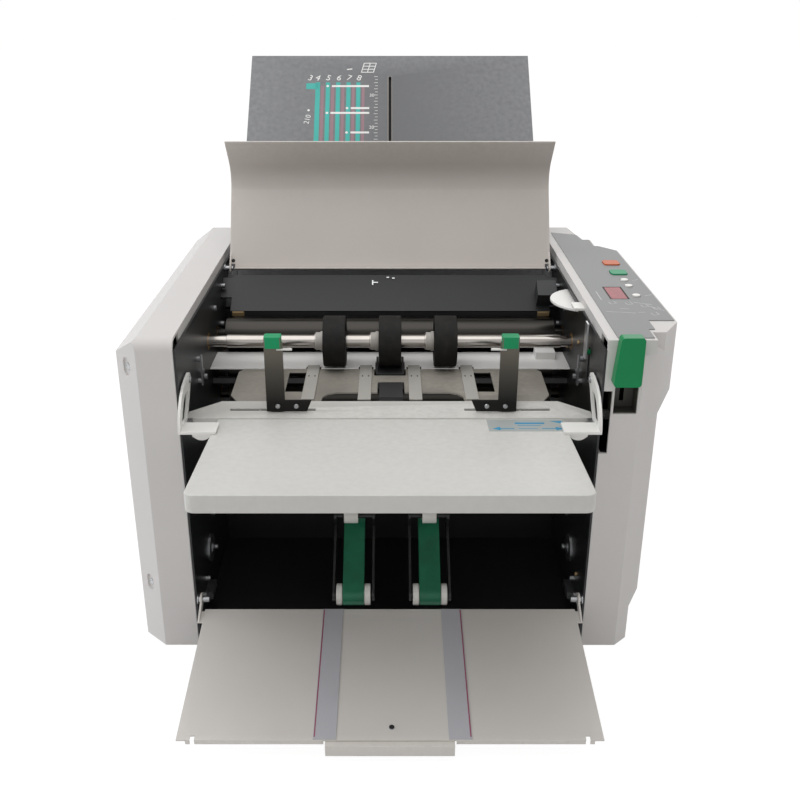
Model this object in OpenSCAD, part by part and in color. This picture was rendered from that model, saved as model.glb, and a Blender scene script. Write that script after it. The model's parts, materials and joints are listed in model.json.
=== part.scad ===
// Desk paper folding machine with its hood open, feed table down and delivery tray down.
// Construction frame: x to the right, y back from the front face of the side covers,
// z up from the table. in_frame() moves it to the middle of the footprint at the end.

/* [Housing] */
// Clear width between the two side frames
bay_w = 392; // [372:1:480]
// Width of a side housing, from its frame to its outer wall
side_w = 58; // [56:1:80]
// Depth of the side covers
body_d = 443; // [430:1:540]
// Height of the cover tops above the table
body_h = 336; // [332:1:410]
// Wall of the moulded covers
cover_t = 3; // [2:0.5:4]
// Plate of the side frames
frame_t = 2; // [1.5:0.5:3]
// Height of the rubber feet
foot_h = 8; // [5:1:12]
// Gap under the side covers
cover_gap = 1; // [1:0.5:4]
// Width of the front corner chamfer of the covers
chamfer_w = 23.4; // [10:0.1:30]
// Depth of the front corner chamfer of the covers
chamfer_d = 22; // [10:1:30]
// Height of the top edge bevel of the covers
bevel_h = 18; // [8:1:24]
// Radius of the front top corner of the covers
corner_r = 12; // [4:1:20]

/* [Control box] */
// How far the control box stands out of the right cover
box_out = 18; // [8:1:24]
// Height of the control box side
box_h = 69; // [50:1:80]
// Front of the control box side
box_y0 = 52; // [50:1:70]
// Rear of the control box side
box_y1 = 322; // [300:1:360]
// Thickness of the printed overlay
overlay_t = 0.8; // [0.5:0.1:1]

/* [Paper path] */
// Height of the paper path above the table
path_z = 247; // [244:1:260]
// Radius of the fold rollers
roller_r = 18; // [15:0.5:21.6]
// Nip gap between fold rollers
nip_gap = 0.4; // [0.4:0.1:1]
// Place of the feed nip, back from the front
nip_y = 222; // [220:1:236]
// Radius of a roller journal
journal_r = 6; // [4:0.5:7]
// Place of the feed shaft, back from the front
feed_y = 165; // [155:1:168]
// Radius of the feed shaft
feed_shaft_r = 7; // [6:0.5:9]
// Radius of the rubber feed tyres
tyre_r = 27.5; // [24:0.5:28]
// Width of a feed tyre
tyre_w = 24; // [14:1:30]
// Spacing of the feed tyres
tyre_pitch = 59.5; // [45:0.5:72]

/* [Feed table] */
// Width of the feed table
table_w = 330; // [275:1:352]
// Length of the feed table
table_l = 174; // [120:1:209]
// Slope of the feed table, falling to the rear
table_slope = 3.8; // [0:0.1:8]
// Height of the table's front lip
table_lip = 16; // [10:1:22]
// Place of a side fence, from the middle
fence_x = 117; // [108:1:140]

/* [Hood] */
// Lean of the open hood behind the vertical
hood_lean = 28.7; // [10:0.1:35]
// Length of the hood's main panel
hood_l = 116; // [90:1:125]
// Length of the flared end of the hood
hood_flare_l = 58; // [40:1:60]
// Sheet of the hood
hood_t = 1.6; // [1:0.1:2]

/* [Fold plates] */
// Length of the upper fold plate
upper_l = 406; // [340:1:480]
// Lean of the upper fold plate above the horizontal
upper_lean = 45; // [44:0.5:50]
// Length of the lower fold plate
lower_l = 340; // [300:1:346]
// Fall of the lower fold plate below the horizontal
lower_fall = 29.6; // [27:0.1:30]
// Sheet of the fold plates
plate_t = 1.5; // [1:0.1:2]
// Gap between the two sheets of a fold plate
plate_gap = 2.4; // [2:0.1:4]
// Edge of a fold plate, from the frame
plate_side = 12; // [8:1:30]

/* [Delivery] */
// Width of the delivery tray
tray_w = 376; // [313:1:386]
// Length of the delivery tray
tray_l = 164; // [130:1:170]
// Fall of the open delivery tray
tray_fall = 8.2; // [0:0.1:12]
// Width of a delivery belt
belt_w = 21.7; // [12:0.1:26]
// Thickness of a delivery belt
belt_t = 1.3; // [0.8:0.1:2]
// Radius of a delivery wheel's rim
wheel_r = 11; // [10:0.5:12]
// Width of a delivery wheel
wheel_w = 35; // [30:1:40]

/* [Hidden] */
$fn = 64;

// Clearances
run_gap = 0.05;      // running fit, radial
seat_gap = 0.3;      // between a piece and the stop that it rests on

// Frames and covers
frame_in = bay_w / 2;
frame_out = frame_in + frame_t;
cover_out = frame_out + side_w;
pan_t = 1.5;
cover_z0 = cover_gap;
pan_z0 = foot_h;
frame_y0 = 1;
frame_y1 = body_d - 6;
frame_z1 = body_h - 10;

// Fold rollers: feed nip above, first fold behind, second fold below
roller_pitch = 2 * roller_r + nip_gap;
c2 = [nip_y, path_z - roller_pitch / 2];
c1 = [nip_y, c2.y + roller_pitch];
c3 = [nip_y + roller_pitch, c2.y];
c4 = [nip_y, c2.y - roller_pitch];
rollers = [c1, c2, c3, c4];
roller_end = frame_in - 11;
feed_c = [feed_y, path_z + 2 + tyre_r];

// Drive on the left side, in layers out from the frame
bush_flange = 2;
gear_x = frame_out + bush_flange + 1;
gear_w = 10;
gear_teeth = 28;
belt_x = gear_x + gear_w + 3;
drive_w = 8;
motor_c = [330, 75];
motor_r = 30;
motor_l = 90;
pinion_r = 10;
big_pulley_r = 24;
roller_pulley_r = 10;
feed_pulley_r = 14;
drive_belt_t = 1.5;
belt_clear = 0.35;

// Delivery belts
wheel_c = [14, 54];
drive_c = [171.5, 160.5];
belt_seat_r = wheel_r - belt_t - 0.3;
belt_xs = [-37.5, 41];
belt_dir = atan2(drive_c.y - wheel_c.y, drive_c.x - wheel_c.x);
belt_outer = belt_seat_r + belt_clear + belt_t;
pinch_r = 8;
pinch_s = 80;
pinch_n = belt_outer + belt_clear + pinch_r;
pinch_c = wheel_c + pinch_s * [cos(belt_dir), sin(belt_dir)]
          + pinch_n * [-sin(belt_dir), cos(belt_dir)];
beam_t = 2.5;
beam_x = wheel_w / 2 + 1.5;
back_plate_y = 200;

// Hood
hood_c = [297, body_h - 15];
hood_w = bay_w - 12;

// Fold plate mouths
upper_c = [nip_y + roller_pitch + 5.6, path_z + 7];
lower_c = [nip_y + 26, c2.y - 25.8];
plate_w = bay_w - 2 * plate_side;
half_gap = plate_gap / 2;
sheet_out = half_gap + plate_t;

// Tray
tray_c = [4, 55];
tray_sheet = 1.5;
tray_drop = 7.3;
tray_start = 7;
ext_w = 114;
ext_t = 1.2;
ext_l = 120;
ext_out = 4;         // the grip lip stands this far out of the tray
ext_lip = 13;
ext_top = tray_drop + tray_sheet + seat_gap;

// Feed table
table_c = [34, 284];
table_rear = [20, path_z + 2];
table_t = 3;

// Origin at the middle of the footprint
side_x = cover_out + box_out;
rear_y = upper_c.x + upper_l * cos(upper_lean) + sheet_out * sin(upper_lean);
ext_front = tray_start + tray_l + ext_out + ext_t;
front_y = tray_c.x - ext_front * cos(tray_fall) + ext_top * sin(tray_fall);
mid_x = (side_x - cover_out) / 2;
mid_y = (rear_y + front_y) / 2;

// Moves the construction frame so that its origin is the middle of the footprint.
module in_frame() { translate([-mid_x, -mid_y, 0]) children(); }

// A block between two corners.
module block(x, y, z) {
  translate([x[0], y[0], z[0]]) cube([x[1] - x[0], y[1] - y[0], z[1] - z[0]]);
}

// Extrudes a y-z outline from x0 to x1.
module across(x0, x1) {
  translate([x0, 0, 0]) rotate([90, 0, 90]) linear_extrude(x1 - x0) children();
}

// Extrudes an x-z outline from y0 to y1.
module along(y0, y1) {
  translate([0, y1, 0]) rotate([90, 0, 0]) linear_extrude(y1 - y0) children();
}

// Extrudes an x-y outline from z0 to z1.
module upward(z0, z1) { translate([0, 0, z0]) linear_extrude(z1 - z0) children(); }

// A round bar along x, centred on a y-z point.
module bar(c, r, x0, x1) {
  translate([x0, c.x, c.y]) rotate([0, 90, 0]) cylinder(r = r, h = x1 - x0);
}

// The same piece on both sides.
module both_sides() {
  children();
  mirror([1, 0, 0]) children();
}

// A rectangle with round corners, from its low corner.
module round_rect(size, r) {
  translate([r, 0]) square([size.x - 2 * r, size.y]);
  translate([0, r]) square([size.x, size.y - 2 * r]);
  for (x = [r, size.x - r], y = [r, size.y - r]) translate([x, y]) circle(r);
}

// Outline of a belt around two wheels: an arc in even steps on each, joined by tangents.
arc_steps = 24;
module loop_outline(a, ra, b, rb) {
  d = b - a;
  turn = atan2(d.y, d.x);
  half = acos((ra - rb) / norm(d));
  near_step = (360 - 2 * half) / arc_steps;
  far_step = 2 * half / arc_steps;
  polygon([
    for (i = [0:arc_steps]) a + ra * [cos(turn + half + i * near_step),
                                      sin(turn + half + i * near_step)],
    for (i = [0:arc_steps]) b + rb * [cos(turn - half + i * far_step),
                                      sin(turn - half + i * far_step)]]);
}

// A closed flat belt, standing off its wheels by a running clearance.
module belt(a, ra, b, rb, t, x0, x1) {
  across(x0, x1) difference() {
    loop_outline(a, ra + belt_clear + t, b, rb + belt_clear + t);
    loop_outline(a, ra + belt_clear, b, rb + belt_clear);
  }
}

// Spur gear outline with clearance in the mesh.
module gear_outline(pitch_r, teeth, turn) {
  m = 2 * pitch_r / teeth;
  step = 360 / teeth;
  tip = pitch_r + 0.8 * m;
  root = pitch_r - 1.3 * m;
  polygon([for (i = [0:teeth - 1]) each [
    for (p = [[root, -0.37], [tip, -0.11], [tip, 0.11], [root, 0.37]])
      p[0] * [cos(turn + (i + p[1]) * step), sin(turn + (i + p[1]) * step)]
  ]]);
}

// ---------- covers ----------

// Leg of a bevel with legs a and b after the walls move in by t.
function inset_leg(a, b, t) = a - t + t * (sqrt(a * a + b * b) - a) / b;

// Housing form on the right side, shrunk by t on every wall but the inner one, with its
// outer wall set in by step below a slope.
step_in = 9.3;
step_z0 = 40;
step_z1 = 56;
module housing_form(t, step = 0) {
  x1 = cover_out - t;
  z0 = cover_z0 + t;
  z1 = body_h - t;
  y1 = body_d - t;
  cw = inset_leg(chamfer_w, chamfer_d, t);
  cd = inset_leg(chamfer_d, chamfer_w, t);
  bw = inset_leg(chamfer_w, bevel_h, t);
  bh = inset_leg(bevel_h, chamfer_w, t);
  r = corner_r - t;
  intersection() {
    along(t, y1) polygon(concat(
      [[frame_out, z0], [x1 - step, z0]],
      step > 0 ? [[x1 - step, step_z0 + t / 2], [x1, step_z1 + t / 2]] : [],
      [[x1, z1 - bh], [x1 - bw, z1], [frame_out, z1]]));
    upward(z0, z1) polygon([[frame_out, t], [x1 - cw, t], [x1, t + cd], [x1, y1],
                            [frame_out, y1]]);
    across(frame_out, x1) {
      translate([t + r, z0]) square([y1 - t - r, z1 - z0]);
      translate([t, z0]) square([y1 - t, z1 - z0 - r]);
      translate([t + r, z1 - r]) circle(r);
    }
  }
}

// Inner lips that seat a cover on its frame, and the bosses that it is screwed to.
lip_t = 2.5;
lip_w = 12;
boss_r = 5;
cover_bosses = [[30, 30], [52, path_z - 7], [body_d - 40, 40], [body_d - 40, body_h - 50]];
module cover_seats(step = 0) {
  x1 = frame_out + lip_t;
  block([frame_out, x1], [cover_t, cover_t + lip_w], [cover_z0 + cover_t, body_h - 40]);
  block([frame_out, x1], [30, body_d - 20], [body_h - cover_t - lip_w, body_h - cover_t]);
  block([frame_out, x1], [30, body_d - 20], [cover_z0 + cover_t, pan_z0 + pan_t + 8]);
  for (c = cover_bosses)
    bar(c, boss_r, frame_out, cover_out - cover_t - (c.y < step_z1 ? step : 0));
}

// Oval screw recess in the chamfered corner.
recess_zs = [71, body_h - 30];
chamfer_turn = atan2(chamfer_d, chamfer_w);
recess_d = 2;
module on_chamfer(z) {
  translate([cover_out - chamfer_w / 2, chamfer_d / 2, z]) rotate([0, 0, chamfer_turn])
    children();
}
module screw_recess(z) {
  on_chamfer(z) along(-5, recess_d) {
    translate([0, 4]) circle(5);
    translate([0, -4]) circle(5);
    square([10, 8], center = true);
  }
}

inlet_x = frame_out + side_w / 2 - 1;
inlet_z = 60;
inlet_w = 27.5;
inlet_h = 20;
switch_z = 110;
switch_w = 13;
switch_h = 21;
module left_cover() {
  color("#D2D0CB") mirror([1, 0, 0]) {
    difference() {
      housing_form(0);
      housing_form(cover_t);
      for (z = recess_zs) screw_recess(z);
      block([inlet_x - inlet_w / 2, inlet_x + inlet_w / 2], [body_d - 5, body_d + 1],
            [inlet_z - inlet_h / 2, inlet_z + inlet_h / 2]);
      block([inlet_x - switch_w / 2, inlet_x + switch_w / 2], [body_d - 5, body_d + 1],
            [switch_z - switch_h / 2, switch_z + switch_h / 2]);
    }
    cover_seats();
  }
}

// Control box: stepped ledges at the front, a side bulge with a sloped underside.
box_z0 = body_h - box_h;
ledge_h = 14;
ledge_in = 45;       // first ledge corner, out from the frame
ledge_step = 6;
ledge_back = 26;
module ledge_plan(t, y_rear) {
  polygon([[frame_out, t], [frame_out + ledge_in - t, t],
           [frame_out + ledge_in - t, ledge_back + t],
           [frame_out + ledge_in + ledge_step - t, ledge_back + t],
           [frame_out + ledge_in + ledge_step - t, box_y0 + t], [side_x - t, box_y0 + t],
           [side_x - t, box_y1 - t], [cover_out - t, y_rear - t],
           [frame_out + 53 - t, y_rear - t], [frame_out + 53 - t, y_rear + 31 - t],
           [frame_out + 44 - t, y_rear + 31 - t], [frame_out + 41 - t, y_rear + 57 - t],
           [frame_out + 11, y_rear + 70 - t], [frame_out, y_rear + 70 - t]]);
}
module box_form(t) {
  z1 = body_h - t;
  upward(z1 - ledge_h + 2 * t, z1) ledge_plan(t, box_y1 + 22);
  intersection() {
    upward(box_z0 - 20, z1) polygon([
      [frame_out, chamfer_d + t], [cover_out - t, chamfer_d + t], [side_x - t, box_y0 + t],
      [side_x - t, box_y1 - t], [cover_out - t, box_y1 + 22 - t], [frame_out, box_y1 + 22 - t]]);
    along(0, body_d) polygon([
      [frame_out, box_z0 - 13 + t], [cover_out - t, box_z0 - 13 + t], [side_x - t, box_z0 + t],
      [side_x - t, z1], [frame_out, z1]]);
  }
}

// Lever slot in the right cover.
lever_x0 = frame_out + 10;
lever_x1 = frame_out + 32;
lever_z0 = body_h - 73;
lever_z1 = body_h - 12;

// Buttons on the panel: x from the frame, y, half width, half length.
button_x = frame_out + 55.5;
start_y = 221;
stop_y = 261;
set_ys = [134, 169, 191];
big_half = 9;
set_r = 4;
button_gap = 0.4;
window_x = [frame_out + 28, frame_out + 45];
window_y = [124, 165];
module button_holes(gap, z0, z1) {
  for (y = [start_y, stop_y]) upward(z0, z1) translate([button_x - big_half - gap, y - big_half - gap])
    round_rect([2 * (big_half + gap), 2 * (big_half + gap)], 4 + gap);
  for (y = set_ys) translate([button_x, y, z0]) cylinder(r = set_r + gap, h = z1 - z0);
}
// Notch in its front inner corner, beside the arm of the feed table.
arm_notch_w = 8;
module right_cover() {
  color("#D2D0CB") difference() {
    union() {
      difference() {
        union() {
          housing_form(0, step_in);
          box_form(0);
        }
        housing_form(cover_t, step_in);
        box_form(cover_t);
      }
      cover_seats(step_in);
    }
    block([lever_x0, lever_x1], [-1, cover_t + 1], [lever_z0, lever_z1]);
    button_holes(button_gap, body_h - 6, body_h + 1);
    block([frame_out - 1, frame_out + arm_notch_w], [-1, cover_t + lip_w + 1],
          [path_z - 25, path_z + 39]);
  }
}

module cover_screws() {
  color("#B9B9B6") mirror([1, 0, 0]) for (z = recess_zs) on_chamfer(z) {
    difference() {
      translate([0, recess_d - 0.9, 0]) rotate([-90, 0, 0]) cylinder(r = 3.4, h = 0.9);
      translate([-2.4, recess_d - 1, -0.4]) cube([4.8, 0.5, 0.8]);
    }
  }
}

// Opening of the rear cover around the lower fold plate.
function lower_z(y) = lower_c.y - (y - lower_c.x) * tan(lower_fall);
rear_t = 2.5;
rear_slot_half = 11;
top_cover_y0 = upper_c.x + (body_h - upper_c.y) / tan(upper_lean) + 26;
module rear_cover() {
  z = lower_z(frame_y1);
  color("#CFCDC8") {
    block([-frame_out, frame_out], [top_cover_y0, frame_y1 + rear_t], [frame_z1, frame_z1 + 2.5]);
    block([-frame_in, frame_in], [top_cover_y0, top_cover_y0 + 2.5], [frame_z1 - 12, frame_z1]);
  }
  color("#CFCDC8") difference() {
    block([-frame_out, frame_out], [frame_y1, frame_y1 + rear_t], [pan_z0 + pan_t, frame_z1]);
    block([-plate_w / 2 - 3, plate_w / 2 + 3], [frame_y1 - 1, frame_y1 + rear_t + 1],
          [z - rear_slot_half, z + rear_slot_half]);
    for (i = [-7:7]) block([i * 20 - 6, i * 20 + 6], [frame_y1 - 1, frame_y1 + rear_t + 1],
                           [body_h - 100, body_h - 97]);
  }
}

// ---------- frames ----------

arm_pin_r = 3;
rail_c = [45, path_z - 9];
rail_r = 4;
tie_cs = [[20, 17], [frame_y1 - 15, 22], [frame_y1 - 15, frame_z1 - 16]];
shaft_cs = concat(rollers, [feed_c, drive_c]);
bush_r = journal_r + 3;
module frame_plate() {
  difference() {
    block([frame_in, frame_out], [frame_y0, frame_y1], [pan_z0 + pan_t, frame_z1]);
    for (c = shaft_cs) bar(c, bush_r, frame_in - 1, frame_out + 1);
  }
}

module left_side_frame() {
  color("#26282B") mirror([1, 0, 0]) difference() {
    frame_plate();
    bar(motor_c, 9, frame_in - 1, frame_out + 1);
  }
}

// The right frame is slotted for the lever's link and the separator dial.
link_y = 68;
link_pin_r = 2.5;
lever_travel = 26;
link_z = body_h - 36;
dial_c = [frame_out + 16, 178];
dial_r = 41;
dial_t = 3;
dial_z = body_h - 19;
module right_side_frame() {
  slot_half = sqrt(dial_r * dial_r - pow(dial_c.x - frame_in, 2)) + 2;
  color("#26282B") difference() {
    frame_plate();
    block([frame_in - 1, frame_out + 1], [link_y - 4, link_y + 4],
          [link_z - lever_travel - 4, link_z + 4]);
    block([frame_in - 1, frame_out + 1], [dial_c.y - slot_half, dial_c.y + slot_half],
          [dial_z - 2, dial_z + dial_t + 2]);
  }
}

// Base sheet with its upright back plate behind the delivery belts.
module base_pan() {
  z1 = pan_z0 + pan_t;
  color("#2B2D30") {
    block([-frame_out, frame_out], [4, frame_y1], [pan_z0, z1]);
    block([-frame_in, frame_in], [4, 5.5], [z1, z1 + 14]);
    block([-frame_in, frame_in], [frame_y1 - 1.5, frame_y1], [z1, z1 + 7]);
    block([-frame_in, frame_in], [back_plate_y, back_plate_y + 1.2], [z1, c4.y - 4]);
    block([-frame_in, frame_in], [back_plate_y + 1.2, back_plate_y + 12], [z1, z1 + 1.2]);
  }
}

foot_r = 12;
module rubber_feet() {
  color("#2A2A2A") for (x = [-1, 1], y = [34, frame_y1 - 34])
    translate([x * (frame_in - 24), y, 0]) {
      cylinder(r = foot_r - 1, h = 1);
      translate([0, 0, 1]) cylinder(r = foot_r, h = foot_h - 1);
    }
}

// Rods across the frames: the tie bars and the rail that the side fences slide on.
module cross_rods() {
  color("#A9ABAD") for (c = concat(tie_cs, [rail_c])) bar(c, rail_r, -frame_in, frame_in);
}

// Flanged bushes that carry every cross shaft in the frames.
module shaft_bushes() {
  color("#B08D57") both_sides() for (c = shaft_cs) difference() {
    union() {
      bar(c, bush_r, frame_in, frame_out);
      bar(c, bush_r + 2, frame_out, frame_out + bush_flange);
    }
    bar(c, journal_r + run_gap, frame_in - 1, frame_out + bush_flange + 1);
  }
}

// Fixed pins of the hood, the feed table and the tray, with the studs, screw heads,
// stops and discs on the inner faces of the frames.
pin_head = 5;
disc_c = [84, 67];
module frame_fittings() {
  color("#A9ABAD") both_sides() for (pin = [[hood_c, 10], [table_c, 6], [tray_c, 12]]) {
    bar(pin[0], arm_pin_r, frame_in - pin[1], frame_in);
    bar(pin[0], pin_head, frame_in - 1, frame_in);
  }
  color("#B9A37A") both_sides() {
    for (c = [[250, 268], [208, 300], [112, 262], [128, 250]]) bar(c, 3.2, frame_in - 3, frame_in);
    bar([272, 296], 4.5, frame_in - 16, frame_in);
    bar([262, 310], 2.5, frame_in - 5, frame_in);
    difference() {
      bar(disc_c, 15, frame_in - 2.5, frame_in);
      bar(disc_c, 6, frame_in - 3, frame_in - 1);
    }
    block([frame_in - 8, frame_in], [40, 66], [30, 38]);
    bar([30, 42], 3.5, frame_in - 4, frame_in);
    bar([110, 96], 3.5, frame_in - 3, frame_in);
    block([frame_in - 8, frame_in], [4, 16], [path_z - 5, path_z + 5 - seat_gap]);
    bar([96, 282], 3, frame_in - 5, frame_in);
    bar([96, 258], 3, frame_in - 5, frame_in);
    block([frame_in - 5, frame_in - 3.5], [93, 99], [254, 286]);
  }
}

// ---------- drive ----------

module drive_motor() {
  color("#3A3D42") mirror([1, 0, 0]) {
    difference() {
      union() {
        bar(motor_c, motor_r, frame_in - motor_l, frame_in);
        bar(motor_c, 9, frame_in, frame_out);
      }
      bar(motor_c, 4 + run_gap, frame_in - 30, frame_out + 1);
    }
    bar(motor_c, 12, frame_in - motor_l - 8, frame_in - motor_l);
    block([frame_in - motor_l + 8, frame_in - 8], [motor_c.x - 20, motor_c.x + 20],
          [pan_z0 + pan_t, motor_c.y - 15]);
  }
}

module motor_pulley() {
  color("#9EA1A4") mirror([1, 0, 0]) {
    bar(motor_c, 4, frame_in - 28, belt_x + drive_w);
    bar(motor_c, pinion_r, belt_x, belt_x + drive_w);
    bar(motor_c, pinion_r + 2.5, belt_x - 1.5, belt_x - 0.5);
    bar(motor_c, pinion_r, belt_x - 0.5, belt_x);
  }
}

// Three toothless drive belts: motor, feed shaft and delivery.
delivery_pulley_r = 10;
delivery_x = frame_out + bush_flange + 2;
module drive_belts() {
  x0 = belt_x + 0.5;
  x1 = belt_x + drive_w - 0.5;
  color("#1E1E1E") {
    mirror([1, 0, 0]) {
      belt(motor_c, pinion_r, c4, big_pulley_r, drive_belt_t, x0, x1);
      belt(feed_c, feed_pulley_r, c1, roller_pulley_r, drive_belt_t, x0, x1);
    }
    belt(drive_c, delivery_pulley_r, c4, delivery_pulley_r, drive_belt_t,
         delivery_x + 0.5, delivery_x + drive_w - 0.5);
  }
}

// A fold roller with its journals and its gear on the left.
gear_pitch_r = roller_pitch / 2;
module fold_roller(c, turn, left_end, right_end) {
  color("#9B9DA0") {
    bar(c, roller_r, -roller_end, roller_end);
    bar(c, journal_r, -left_end, right_end);
    across(-gear_x - gear_w, -gear_x) translate(c) gear_outline(gear_pitch_r, gear_teeth, turn);
  }
}
short_end = frame_out + bush_flange + 2;
half_tooth = 180 / gear_teeth;
pulley_end = belt_x + drive_w;

module fold_roller_1() {
  fold_roller(c1, half_tooth, pulley_end, short_end);
  color("#9B9DA0") bar(c1, roller_pulley_r, -pulley_end, -belt_x);
}
module fold_roller_2() { fold_roller(c2, 0, gear_x + gear_w, short_end); }
module fold_roller_3() { fold_roller(c3, half_tooth, gear_x + gear_w, short_end); }
module fold_roller_4() {
  fold_roller(c4, half_tooth, pulley_end, delivery_x + drive_w);
  color("#9B9DA0") {
    bar(c4, big_pulley_r, -pulley_end, -belt_x);
    bar(c4, delivery_pulley_r, delivery_x, delivery_x + drive_w);
  }
}

// ---------- feed ----------

module feed_shaft() {
  color("#C9CBCD") {
    bar(feed_c, feed_shaft_r, -frame_in + 20, frame_in - 12);
    bar(feed_c, journal_r, -pulley_end, short_end);
    bar(feed_c, feed_pulley_r, -pulley_end, -belt_x);
    for (i = [-1:1]) bar(feed_c, feed_shaft_r + 1.5, i * tyre_pitch - tyre_w / 2 - 10,
                         i * tyre_pitch - tyre_w / 2);
  }
}

hub_t = 4;
module feed_tyres() {
  color("#2B2A29") for (i = [-1:1]) difference() {
    bar(feed_c, tyre_r, i * tyre_pitch - tyre_w / 2, i * tyre_pitch + tyre_w / 2);
    bar(feed_c, feed_shaft_r, i * tyre_pitch - tyre_w, i * tyre_pitch + tyre_w);
    for (s = [-1, 1]) difference() {
      bar(feed_c, tyre_r - 7, i * tyre_pitch + s * tyre_w / 2 - 2, i * tyre_pitch + s * tyre_w / 2 + 2);
      bar(feed_c, feed_shaft_r + hub_t, i * tyre_pitch + s * tyre_w / 2 - 3,
          i * tyre_pitch + s * tyre_w / 2 + 3);
    }
  }
}

// Ramp between the feed table and the separator, slotted for the fences. Ears under it
// hold the pins of the lift plate.
ramp_y0 = 24;
ramp_y1 = 66;
sheet_t = 1.5;
lift_c = [68.5, path_z - 4.6];
lift_lug_x = 120;
lift_lug_r = 3;
lift_pin_r = 1.6;
fence_out = 34;
fence_in = 34;
tongue_w = 8;
module infeed_ramp() {
  z1 = path_z + 1;
  color("#C9C8C3") difference() {
    union() {
      upward(z1 - sheet_t, z1) polygon([
        [-frame_in, ramp_y0], [frame_in, ramp_y0], [frame_in, ramp_y0 + 16],
        [frame_in - 28, ramp_y1], [-frame_in + 28, ramp_y1], [-frame_in, ramp_y0 + 16]]);
      block([-frame_in, frame_in], [ramp_y0, ramp_y0 + 1.5], [z1 - 14, z1 - sheet_t]);
    }
    both_sides() block([fence_x - fence_in - tongue_w / 2 - 6, fence_x + fence_out + tongue_w / 2 + 2],
                       [rail_c.x - 2.5, rail_c.x + 2.5], [z1 - 3, z1 + 1]);
  }
  color("#C9C8C3") both_sides() {
    block([lift_lug_x + 8.5, lift_lug_x + 10.5], [ramp_y1 - 8, ramp_y1],
          [lift_c.y - 2.4, z1 - sheet_t]);
    block([lift_lug_x + 8.5, lift_lug_x + 10.5], [ramp_y1 - 8, lift_c.x + 2.2],
          [lift_c.y - 2.4, lift_c.y + 2.4]);
    bar(lift_c, lift_pin_r, lift_lug_x - 7, lift_lug_x + 8.5);
  }
}

// A side fence: front plate with its foot and grip, side guide, and a ring on the rail.
fence_plate_y = 38;
fence_top = path_z + 68;
grip_h = 11;
fence_len = 110;
module fence() {
  z0 = path_z + 2;
  color("#77766F") {
    block([fence_x - 15, fence_x + 3], [fence_plate_y, fence_plate_y + 1.5], [z0, fence_top + 6]);
    along(fence_plate_y, fence_plate_y + 1.5) polygon([
      [fence_x - 41, z0 + 12], [fence_x - 36, z0], [fence_x - 15, z0], [fence_x - 15, z0 + 12]]);
    block([fence_x - 1.5, fence_x], [fence_plate_y, fence_plate_y + fence_len], [z0, z0 + 22]);
    block([fence_x - 13.5, fence_x], [fence_plate_y, fence_plate_y + 14], [z0, z0 + 2]);
    for (p = [[fence_x - 8, 6], [fence_x - 26, 6]]) translate([p[0], fence_plate_y, z0 + p[1]])
      rotate([90, 0, 0]) cylinder(r = 2.2, h = 0.8);
  }
  color("#8A8D90") difference() {
    union() {
      bar(rail_c, rail_r + 3, fence_x - 6, fence_x + 2);
      block([fence_x - 6, fence_x + 2], [rail_c.x - 2, rail_c.x + 2], [rail_c.y + rail_r, z0 + 1]);
    }
    bar(rail_c, rail_r + run_gap, fence_x - 7, fence_x + 3);
  }
  color("#1F8F5F") difference() {
    block([fence_x - 13.4, fence_x + 2.4], [fence_plate_y - 3, fence_plate_y + 9],
          [fence_top, fence_top + grip_h]);
    block([fence_x - 15, fence_x + 3], [fence_plate_y, fence_plate_y + 1.5],
          [fence_top - 1, fence_top + 6]);
  }
}
module left_fence() { mirror([1, 0, 0]) fence(); }
module right_fence() { translate([3, 0, 0]) fence(); }

// Plate that lifts the stack to the tyres, hinged at its front edge, cut out between the
// skids and around the separator's holder.
holder_half = tyre_w / 2 + 3;
holder_y0 = 140;
lift_y1 = 157;
lift_half = 154;
lift_hole_xs = [-99, 99];
lift_band_y = 91;    // rear edge of the cut-out along its front
module lift_plate() {
  z1 = path_z;
  color("#B3AEA5") {
    difference() {
      upward(z1 - sheet_t, z1) polygon([
        [-lift_half, ramp_y1 + 2], [lift_half, ramp_y1 + 2], [lift_half + 8, ramp_y1 + 18],
        [lift_half + 9, lift_y1 - 8], [lift_half + 4, lift_y1], [-lift_half - 4, lift_y1],
        [-lift_half - 9, lift_y1 - 8], [-lift_half - 8, ramp_y1 + 18]]);
      for (x = lift_hole_xs) block([x - 9, x + 9], [lift_band_y + 2, 149], [z1 - 3, z1 + 1]);
      block([-13, 15], [lift_band_y - 1, 120], [z1 - 3, z1 + 1]);
      block([-holder_half - 2, holder_half + 2], [holder_y0 - 2, lift_y1 + 1], [z1 - 3, z1 + 1]);
      upward(z1 - 3, z1 + 1) polygon([
        [-70, ramp_y1], [76, ramp_y1], [74, 80], [69, 87], [61, lift_band_y],
        [-55, lift_band_y], [-63, 87], [-68, 80]]);
    }
    for (x = [-lift_lug_x, lift_lug_x]) difference() {
      union() {
        bar(lift_c, lift_lug_r, x - 8, x + 8);
        block([x - 8, x + 8], [lift_c.x, lift_c.x + 8], [lift_c.y, z1 - sheet_t]);
      }
      bar(lift_c, lift_pin_r + run_gap, x - 9, x + 9);
    }
  }
}

skid_xs = [-83, -26, 26, 83];
skid_half = 6.6;
skid_y1 = lift_y1 + 8;
module feed_skids() {
  color("#D8D6D0") for (x = skid_xs)
    block([x - skid_half, x + skid_half], [ramp_y1 + 4, skid_y1], [path_z, path_z + 1.6]);
}

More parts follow.
